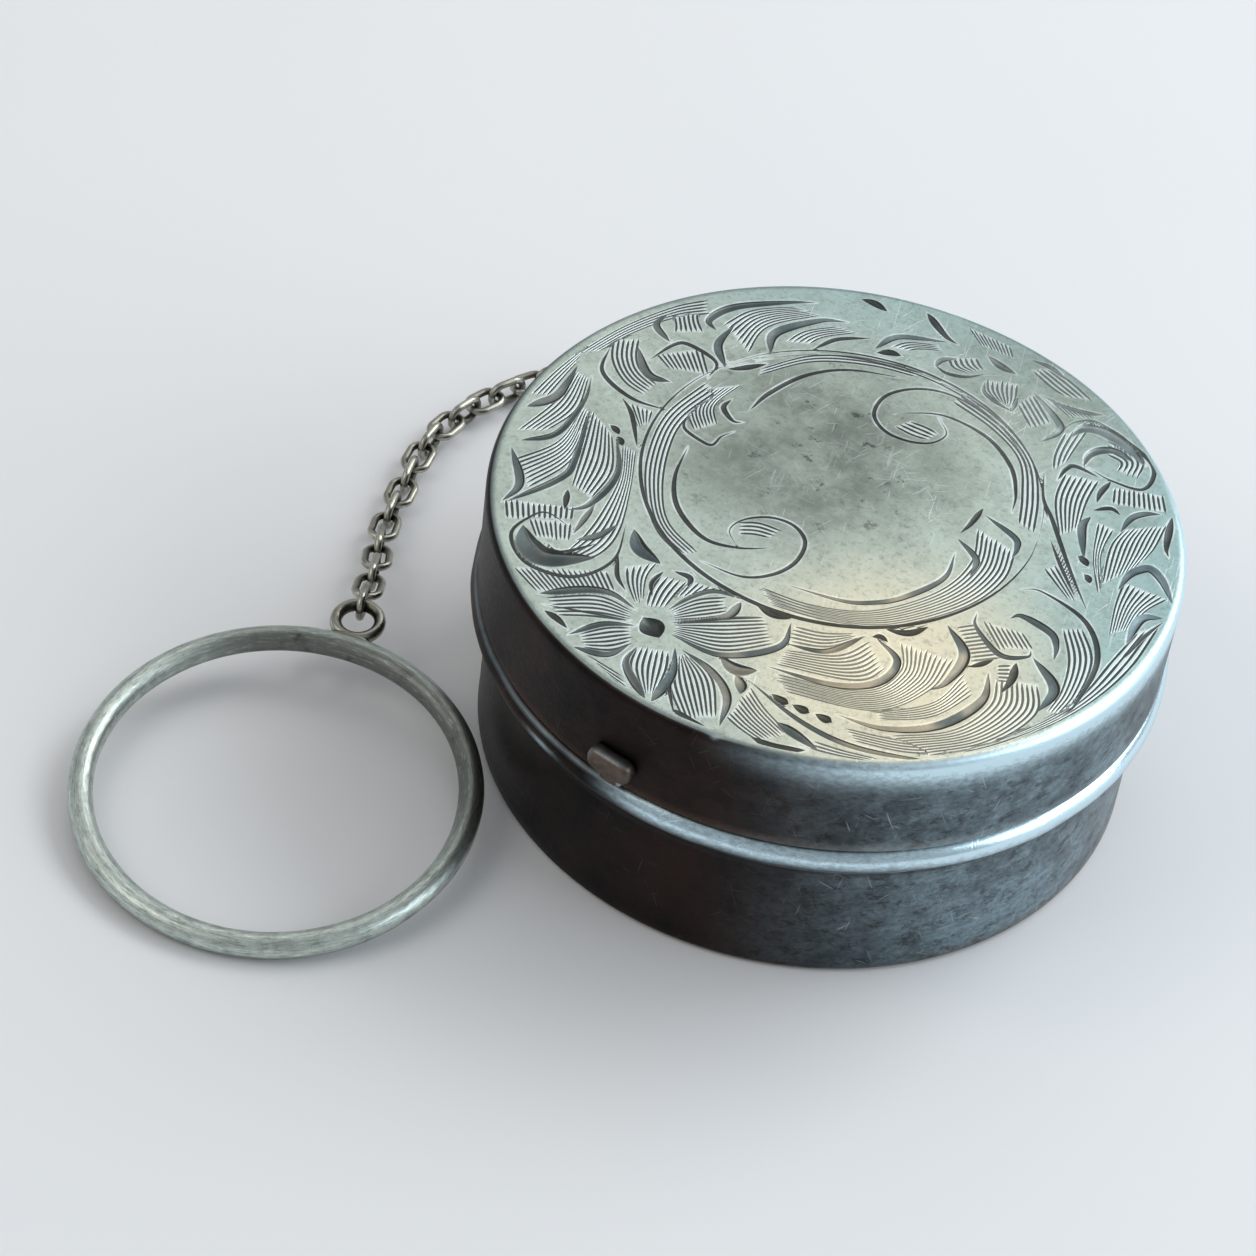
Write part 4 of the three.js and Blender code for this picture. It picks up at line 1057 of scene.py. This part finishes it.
def make_lid():
    outline, sides, top_rings = lid_outline()
    points, faces, rings = turned(outline, sides)
    on_top = rings < top_rings
    spots = in_drawing(points)
    radius = np.hypot(*spots.T)
    off, half, room, facet, depth = engrave_cuts(spots)
    number, pitch, within, ends = engrave_hatches(spots)
    room[~on_top] = -1
    within[~on_top] = -1
    fade = np.clip((LID_RADIUS - LID_EDGE - radius) / 0.4, 0, 1)
    sag = 0.05 * np.sin(0.33 * spots[:, 0] + 0.8) * np.cos(0.27 * spots[:, 1] - 0.4) - 0.03
    points[on_top, 2] += (sag * np.clip((LID_RADIUS - radius) / 3, 0, 1) - depth * fade)[on_top]
    outer_side = ~on_top & (radius > LID_RADIUS - SHEET + 0.3)
    outer = outer_side & (points[:, 2] > LID_RIM + 0.2)
    dent = np.linalg.norm(spots - DENT_PLACE, axis=1) ** 2 + (points[:, 2] - LID_TOP) ** 2
    points = push_out(points, uneven(points, 0.02) * outer)
    points[:, 2] -= 0.09 * np.exp(-dent / 0.16)
    along = np.array(outline)[rings, 1]
    below = LID_TOP - along
    # Painted highlight: a bright band along the top edge and the rim, on the side toward the lamps
    lit_side = eased(spots[:, 0], -0.35 * LID_RADIUS, 0.5 * LID_RADIUS)
    wear_and_highlight = lit_side * (1.7 * bell(below - 0.3, 0.95) + 0.4 * bell(along - LID_RIM, 0.2))
    values = {
        "cut_off": off, "cut_half": half, "cut_room": room, "cut_facet": facet,
        "hatch_line": number, "hatch_pitch": pitch, "hatch_within": within, "hatch_end": ends,
        "wear_and_highlight": wear_and_highlight * ~on_top,
        "wall": np.clip(below / 0.1, 0, 1) * ~on_top,
        "nick_and_highlight": 0.8 * bell(below, 0.06) * ~on_top + 0.45 * np.exp(-dent / 0.03),
        "brown": 0.6 * bell(along - LID_RIM, 0.35) * outer_side,
    }
    make_piece("engraved_lid", points, faces, ENGRAVED_SILVER, "lid", "lid_shell", values)


def make_base():
    inside = BASE_RADIUS - SHEET
    middle = BASE_RIM - BEAD_RADIUS
    bead_low = middle - BEAD_RADIUS
    lip_middle = bead_low - LIP_RADIUS
    foot = [(0, 0, 0), (BASE_RADIUS, 0, BASE_EDGE), (BASE_RADIUS, lip_middle - LIP_RADIUS, 0)]
    lip = arc(BASE_RADIUS, lip_middle, LIP_RADIUS, -60, 45, 8)
    bead = arc(BASE_RADIUS + BEAD_STEP, middle, BEAD_RADIUS, -90, 90, 13)
    mouth = [(*bead[-1], 0), (inside, BASE_RIM, 0.15), (inside, SHEET, BASE_FILLET), (0, SHEET, 0)]
    outline = refined(rounded(foot, steps=7) + lip + bead + rounded(mouth)[1:], 0.6)
    points, faces, rings = turned(outline[::-1], [WALL_SIDES] * len(outline))
    r, z = np.array(outline[::-1]).T[:, rings]
    outer = (r > BASE_RADIUS - 0.1) & (z > BASE_EDGE) & (z < lip_middle - LIP_RADIUS - 0.1)
    on_bead = (r > BASE_RADIUS + BEAD_STEP - 0.01) & (z > bead_low - 0.01)
    turn = np.arctan2(points[:, 1], points[:, 0])
    knocks = np.sin(13 * turn + 1) + 0.8 * np.sin(23 * turn + 2.3) + 0.6 * np.sin(37 * turn)
    points = push_out(points, uneven(points, 0.02) * outer + 0.014 * knocks * on_bead)
    on_lip = (r > BASE_RADIUS + 0.1) & ~on_bead
    bead_angle = np.arctan2(z - middle, r - BASE_RADIUS - BEAD_STEP)
    across, _ = in_drawing(points).T / LID_RADIUS
    # Painted highlights: on the bead's upper half from the front left onward, on the whole bead toward the
    # right, and on the lip toward the right
    wear_and_highlight = 1.2 * bell(bead_angle - 0.5, 0.7) * on_bead * eased(across, -0.62, -0.4)
    wear_and_highlight = wear_and_highlight + 0.5 * on_bead * eased(across, 0.1, 0.7)
    wear_and_highlight = wear_and_highlight + 0.6 * on_lip * eased(across, -0.3, 0.4)
    lined = 0.8 * (r < inside + 0.05) * (z > 0.3)
    foot_edge = bell(z - 0.1, 0.16 + 0.34 * eased(across, 0.2, 0.8)) * (r > BASE_RADIUS - 0.5)
    # A short painted highlight low on the bead at the front left, and a thin one near its top; the inside of
    # the cup is brighter
    glint = bell(across + 0.74, 0.035) * bell(bead_angle + 0.1, 0.2) + 0.25 * bell(bead_angle - 0.8, 0.08)
    values = {"wear_and_highlight": wear_and_highlight, "brown": 0.95 * foot_edge, "nick_and_highlight": glint * on_bead + lined}
    make_piece("beaded_base", points, faces, AGED_SILVER, "base", "base_cup", values)


def make_ring_piece(name, corners, body, node):
    """A ring of inner silver, turned from a closed outline."""
    outline = rounded(corners, closed=True)
    points, faces, _ = turned(outline, [WALL_SIDES] * len(outline), closed=True)
    make_piece(name, points, faces[:, ::-1], INNER_SILVER, body, node)


def make_collar():
    low, high = box_of("inner_collar")
    soldered = 0.03
    neck = BASE_RADIUS - SHEET - soldered
    seat = BASE_RIM + soldered
    corners = [
        (neck - COLLAR_SHEET, low.z, 0.1), (neck, low.z, 0.1), (neck, seat, 0.05), (high.x, seat, 0.1),
        (high.x, high.z, 0.18), (high.x - COLLAR_SHEET, high.z, 0.12),
        (high.x - COLLAR_SHEET, seat + COLLAR_SHEET, 0.15), (neck - COLLAR_SHEET, seat, 0.15),
    ]
    make_ring_piece("lid_collar", corners, "base", "inner_collar")


def make_mirror():
    low, high = box_of("mirror")
    corners = [(0, low.z, 0), (high.x, low.z, 0.25), (high.x, high.z, 0.1), (0, high.z, 0)]
    outline = refined(rounded(corners), 1.0)
    points, faces, _ = turned(outline[::-1], [WALL_SIDES] * len(outline))
    edge = np.clip((np.hypot(points[:, 0], points[:, 1]) / high.x - 0.8) / 0.15, 0, 1)
    make_piece("lid_mirror", points, faces, MIRROR_GLASS, "lid", "mirror", {"wear_and_highlight": edge})


def make_bezel():
    low, high = box_of("mirror_bezel")
    glass_low, glass_high = box_of("mirror")
    inner = glass_high.x - 0.8
    seat = glass_low.z - 0.05
    gap = glass_high.x + 0.05
    corners = [
        (inner, low.z, 0.28), (high.x, low.z, 0.12), (high.x, high.z, 0.1), (gap, high.z, 0.1),
        (gap, seat, 0.05), (inner, seat, 0.1),
    ]
    make_ring_piece("mirror_rim", corners, "lid", "mirror_bezel")


def softened(name, node, material, body):
    """A copy of a CAD node with its edges rounded. Its points and faces are sorted, because rounding
    leaves them in no fixed order."""
    shape = bmesh.new()
    shape.from_mesh(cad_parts[node].data)
    bmesh.ops.remove_doubles(shape, verts=shape.verts, dist=0.002 * MM)
    bmesh.ops.dissolve_limit(shape, angle_limit=math.radians(2), verts=shape.verts, edges=shape.edges)
    sharp = [e for e in shape.edges if len(e.link_faces) == 2 and e.calc_face_angle() > math.radians(32)]
    bmesh.ops.bevel(
        shape, geom=sharp, offset=HINGE_ROUNDING * MM, segments=2, profile=0.5, affect="EDGES",
        clamp_overlap=True,
    )
    bmesh.ops.triangulate(shape, faces=shape.faces)
    corners = np.array([[v.co for v in face.verts] for face in shape.faces]) / MM
    shape.free()
    points, faces = np.unique(corners.reshape(-1, 3), axis=0, return_inverse=True)
    faces = faces.reshape(-1, 3)
    lowest_first = (faces.argmin(1)[:, None] + np.arange(3)) % 3
    faces = np.unique(np.take_along_axis(faces, lowest_first, axis=1), axis=0)
    make_piece(name, points, faces, material, body, node, {"wear_and_highlight": np.full(len(points), 0.35)})
    bpy.data.meshes[name].set_sharp_from_angle(angle=math.radians(38))


def worn(name, node, material, body):
    """A copy of a CAD node, rubbed round all over. Returns its mesh."""
    piece = new_object(name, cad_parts[node].data.copy())
    remesh = piece.modifiers.new("even", "REMESH")
    remesh.mode = "VOXEL"
    remesh.voxel_size = RUBBED_GRAIN * MM
    rub = piece.modifiers.new("rub", "SMOOTH")
    rub.factor = 0.5
    rub.iterations = RUBS
    shape = bpy.data.meshes.new_from_object(piece.evaluated_get(bpy.context.evaluated_depsgraph_get()))
    piece.modifiers.clear()
    piece.data = shape
    finish_piece(piece, material, body, node)
    return shape


def make_hinge():
    for side in ("left", "middle", "right"):
        softened(f"base_hinge_{side}", f"base_knuckle_{side}", AGED_SILVER, "base")
    for side in ("left", "right"):
        softened(f"lid_hinge_{side}", f"lid_knuckle_{side}", AGED_SILVER, "lid")
    softened("hinge_rivet", "hinge_pin", INNER_SILVER, "base")


def make_thumb_piece():
    lift = worn("thumb_lift", "thumb_piece", AGED_SILVER, "lid")
    points = mesh_points(lift)
    normals = np.array([n.vector for n in lift.vertex_normals])
    leftward = -in_drawing(normals)[:, 0]
    middle = middle_of(points)
    sideways = np.cross((0, 0, 1), (*middle[:2], 0)) / np.hypot(*middle[:2])
    from_middle = np.abs((points - middle) @ sideways)
    height = (points[:, 2] - points[:, 2].min()) / np.ptp(points[:, 2])
    on_foot = eased(height, 0.42, 0.34)
    # Painted highlight on the faces that turn up and to the left; the foot's corners are brighter
    edges = 0.26 * np.clip(normals[:, 2], 0, 1) ** 2 + 0.2 * np.clip(leftward, 0, 1) ** 3
    corners = 0.9 * eased(from_middle, 0.42, 0.6)
    set_values(lift, {
        "wear_and_highlight": np.full(len(points), 0.06),
        "brown": 0.8 + 0.15 * on_foot,
        "nick_and_highlight": edges * (1 - on_foot) + corners * on_foot,
    })


# Chain and finger ring
def own_axes(node):
    """Middle, long axis, second axis and thin axis of a flat CAD node, in mm."""
    points = np.unique(mesh_points(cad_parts[node].data).round(5), axis=0)
    middle = middle_of(points)
    for _ in range(3):
        axes = np.linalg.svd(points - points.mean(0), full_matrices=False)[2]
        spread = (points - middle) @ axes.T
        middle = middle + middle_of(spread) @ axes
    if np.linalg.det(axes) < 0:
        axes[2] = -axes[2]
    return middle, axes


def wire_loop(path, radius, sides):
    """A closed wire along points in the XY plane. The radius may change along it."""
    p = np.array(path, float)
    ahead = np.roll(p, -1, axis=0) - np.roll(p, 1, axis=0)
    ahead /= np.linalg.norm(ahead, axis=1)[:, None]
    outward = np.stack([ahead[:, 1], -ahead[:, 0]], axis=1)
    turns = np.arange(sides) * 2 * math.pi / sides
    size = np.broadcast_to(radius, len(p))[:, None]
    flat = p[:, None] + outward[:, None] * (size * np.cos(turns))[..., None]
    points = np.concatenate([flat, (size * np.sin(turns))[..., None]], axis=2).reshape(-1, 3)
    i, j = np.meshgrid(np.arange(len(p)), np.arange(sides), indexing="ij")
    here, there = i * sides, (i + 1) % len(p) * sides
    up = (j + 1) % sides
    faces = np.stack([here + j, there + j, there + up, here + up], axis=-1).reshape(-1, 4)
    step = np.linalg.norm(np.roll(p, -1, axis=0) - p, axis=1)
    length = np.abs(np.cumsum(step) - step.sum() / 2)
    mean = float(np.mean(size))
    values = {
        "along": np.repeat(length, sides),
        "around": np.tile(mean * np.abs(turns - math.pi), len(p)),
        "inner": np.tile(-np.cos(turns), len(p)),
    }
    return points, faces, values


def circle(radius, count):
    """Angles round a circle, and the points at them."""
    angles = np.linspace(0, 2 * math.pi, count, endpoint=False)
    return angles, np.stack([np.cos(angles), np.sin(angles)], axis=1) * radius


def link_path():
    bend = (LINK_OPENING + LINK_WIRE) / 2
    straight = LINK_INSIDE + LINK_WIRE - 2 * bend
    right = arc(straight / 2, 0, bend, -90, 90, 22)
    left = [(-x, -y) for x, y in right]
    return right + left


def make_chain():
    path = np.array(link_path())
    seam = bell(path[:, 0] - 0.12, 0.16) * (path[:, 1] > 0)
    points, faces, values = wire_loop(path, LINK_WIRE / 2 * (1 + 0.06 * seam), LINK_SIDES)
    at_ends = 0.8 + 0.2 * eased(np.abs(points[:, 0]), 0.4, 0.8)
    # Darker on each link's inner face and toward its ends, where the links pass through each other
    values["grime_and_shade"] = np.clip(0.7 + values["inner"], 0, 1) * at_ends
    names = sorted(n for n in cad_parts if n.startswith("chain_link_"))
    for name in names:
        link = f"link_{name[-2:]}"
        middle, axes = own_axes(name)
        make_piece(link, points @ axes + middle, faces, CHAIN_SILVER, link, name, values)


def make_finger_ring():
    middle, axes = own_axes("finger_ring")
    points = mesh_points(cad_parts["finger_ring"].data)
    radius = np.linalg.norm((points - middle) @ axes[:2].T, axis=1).max() - RING_WIRE / 2
    angles, path = circle(radius, 220)
    thin = 1 - 0.02 * np.sin(2 * angles + 0.5) - 0.012 * np.sin(5 * angles)
    ring, faces, values = wire_loop(path, RING_WIRE / 2 * thin, RING_SIDES)
    ring = ring @ axes + middle
    heights = ring[:, 2].reshape(-1, RING_SIDES)
    # Painted shade: the underside of the wire is darker
    shaded_underside = eased(heights.mean(1, keepdims=True) - heights, 0.0, 0.42 * RING_WIRE).ravel()
    x, y = in_drawing(ring - middle).T / radius
    # Painted shade: darker toward the box and the far side, most on the wire's inner face
    shaded_side = eased(0.6 * x + 0.8 * y, 0.0, 0.7)
    grime_and_shade = 0.95 * shaded_side * np.clip(0.75 + 0.8 * values["inner"], 0.15, 1)
    values["grime_and_shade"] = np.maximum(grime_and_shade, 0.85 * shaded_underside)
    make_piece("wire_ring", ring, faces, RING_SILVER, "ring", "finger_ring", values)
    return middle, axes[2]


def make_eye(name, node, body, origin, normal, radius, wire):
    """A soldered eye of oval wire, and the solder that holds it to what lies toward the origin."""
    points = mesh_points(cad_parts[node].data)
    normal = np.array(normal) / np.linalg.norm(normal)
    away = middle_of(points) - origin
    away -= normal * (away @ normal)
    reach = away / np.linalg.norm(away)
    axes = np.stack([reach, np.cross(normal, reach), normal])
    local = (points - origin) @ axes.T
    level = middle_of(local)[2]
    middle = origin + reach * (local[:, 0].max() - radius - wire / 2) + normal * level
    _, path = circle(radius, 64)
    loop, quads, drawn = wire_loop(path, wire / 2, EYE_SIDES)
    loop[:, 2] *= EYE_TALL
    dome = arc(0, 0, 1, 90, -90, 13)
    ball, triangles, _ = turned(dome, [SOLDER_SIDES] * len(dome))
    solder = ball * (0.34, 0.95 * radius + 0.1, 0.4) - (radius + 0.1, 0, 0)
    faces = np.vstack([quads[:, :3], quads[:, [0, 2, 3]], triangles + len(loop)])
    plain = np.zeros(len(solder))
    values = {key: np.concatenate([drawn[key], plain]) for key in ("along", "around")}
    # Painted shade: the eye's inner face, toward its hole, is darker; the solder gets a fixed share
    grime_and_shade = np.clip(0.6 + 0.8 * drawn["inner"], 0.3, 1)
    values["grime_and_shade"] = np.concatenate([grime_and_shade, np.full(len(solder), 0.75)])
    points = np.vstack([loop, solder]) @ axes + middle
    make_piece(name, points, faces, CHAIN_SILVER, body, node, values)


def make_box_eye():
    """It stands upright on the base's wall, beside the hinge."""
    middle = middle_of(np.array(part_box("chain_eye")) / MM)
    normal = np.cross((0, 0, 1), (*middle[:2], 0))
    origin = np.array((0, 0, middle[2]))
    make_eye(
        "box_loop", "chain_eye", "base", origin, normal, BOX_EYE_RADIUS, BOX_EYE_WIRE
    )


make_lid()
make_base()
make_collar()
make_mirror()
make_bezel()
make_hinge()
make_thumb_piece()
make_chain()
ring_middle, ring_normal = make_finger_ring()
make_eye(
    "ring_loop", "ring_eye", "ring", ring_middle, ring_normal, RING_EYE_RADIUS,
    RING_EYE_WIRE,
)
make_box_eye()


# Floor, light and camera
def make_floor():
    material, sheet = new_material("pale floor")
    grain = sheet.noise(sheet.place(), 0.02, detail=3.0)
    colour = sheet.mix(grain, FLOOR_DULL, FLOOR_PALE)
    close_material(sheet, Base_Color=colour, Roughness=0.85)
    bpy.ops.mesh.primitive_plane_add(size=4.0, location=(0, 0, -0.03 * MM))
    floor = bpy.context.object
    floor.name = "floor"
    floor.data.materials.append(material)


def soft_box(name, azimuth, elevation, distance, size, power, colour):
    """A square lamp that faces the box. Its azimuth counts as the camera's does."""
    lamp = bpy.data.lights.new(name, "AREA")
    lamp.energy = power
    lamp.size = size
    lamp.color = colour
    holder = new_object(name, lamp)
    a, e = math.radians(azimuth), math.radians(elevation)
    away = Vector((math.sin(a) * math.cos(e), -math.cos(a) * math.cos(e), math.sin(e)))
    holder.location = away * distance
    holder.rotation_euler = away.to_track_quat("Z", "Y").to_euler()


def light_scene():
    world = bpy.data.worlds.new("studio")
    world.use_nodes = True
    world.node_tree.nodes["Background"].inputs["Color"].default_value = (0.92, 0.96, 1.0, 1)
    world.node_tree.nodes["Background"].inputs["Strength"].default_value = 0.42
    bpy.context.scene.world = world
    soft_box("key", CAMERA_AZIMUTH + 125, 40, 0.6, 0.4, 1.9, (0.93, 0.97, 1.0))
    soft_box("right", CAMERA_AZIMUTH + 80, 25, 0.5, 0.35, 1.0, (0.8, 0.9, 1.0))
    soft_box("left", CAMERA_AZIMUTH - 75, 45, 0.6, 0.35, 0.5, (1.0, 0.95, 0.88))
    soft_box("back", CAMERA_AZIMUTH + 180, 52, 0.7, 0.5, 0.5, (1.0, 0.98, 0.94))


def make_camera():
    camera = bpy.data.cameras.new("camera")
    camera.lens = LENS
    camera.sensor_width = SENSOR
    camera.clip_start = 0.01
    holder = new_object("camera", camera)
    turn = Matrix.Rotation(math.radians(CAMERA_AZIMUTH), 4, "Z")
    tip = Matrix.Rotation(math.radians(90 - CAMERA_ELEVATION), 4, "X")
    roll = Matrix.Rotation(math.radians(CAMERA_ROLL), 4, "Z")
    holder.matrix_world = Matrix.Translation(Vector(CAMERA_PLACE) * MM) @ turn @ tip @ roll
    bpy.context.scene.camera = holder


make_floor()
light_scene()
make_camera()
bpy.context.scene.view_settings.view_transform = "Standard"
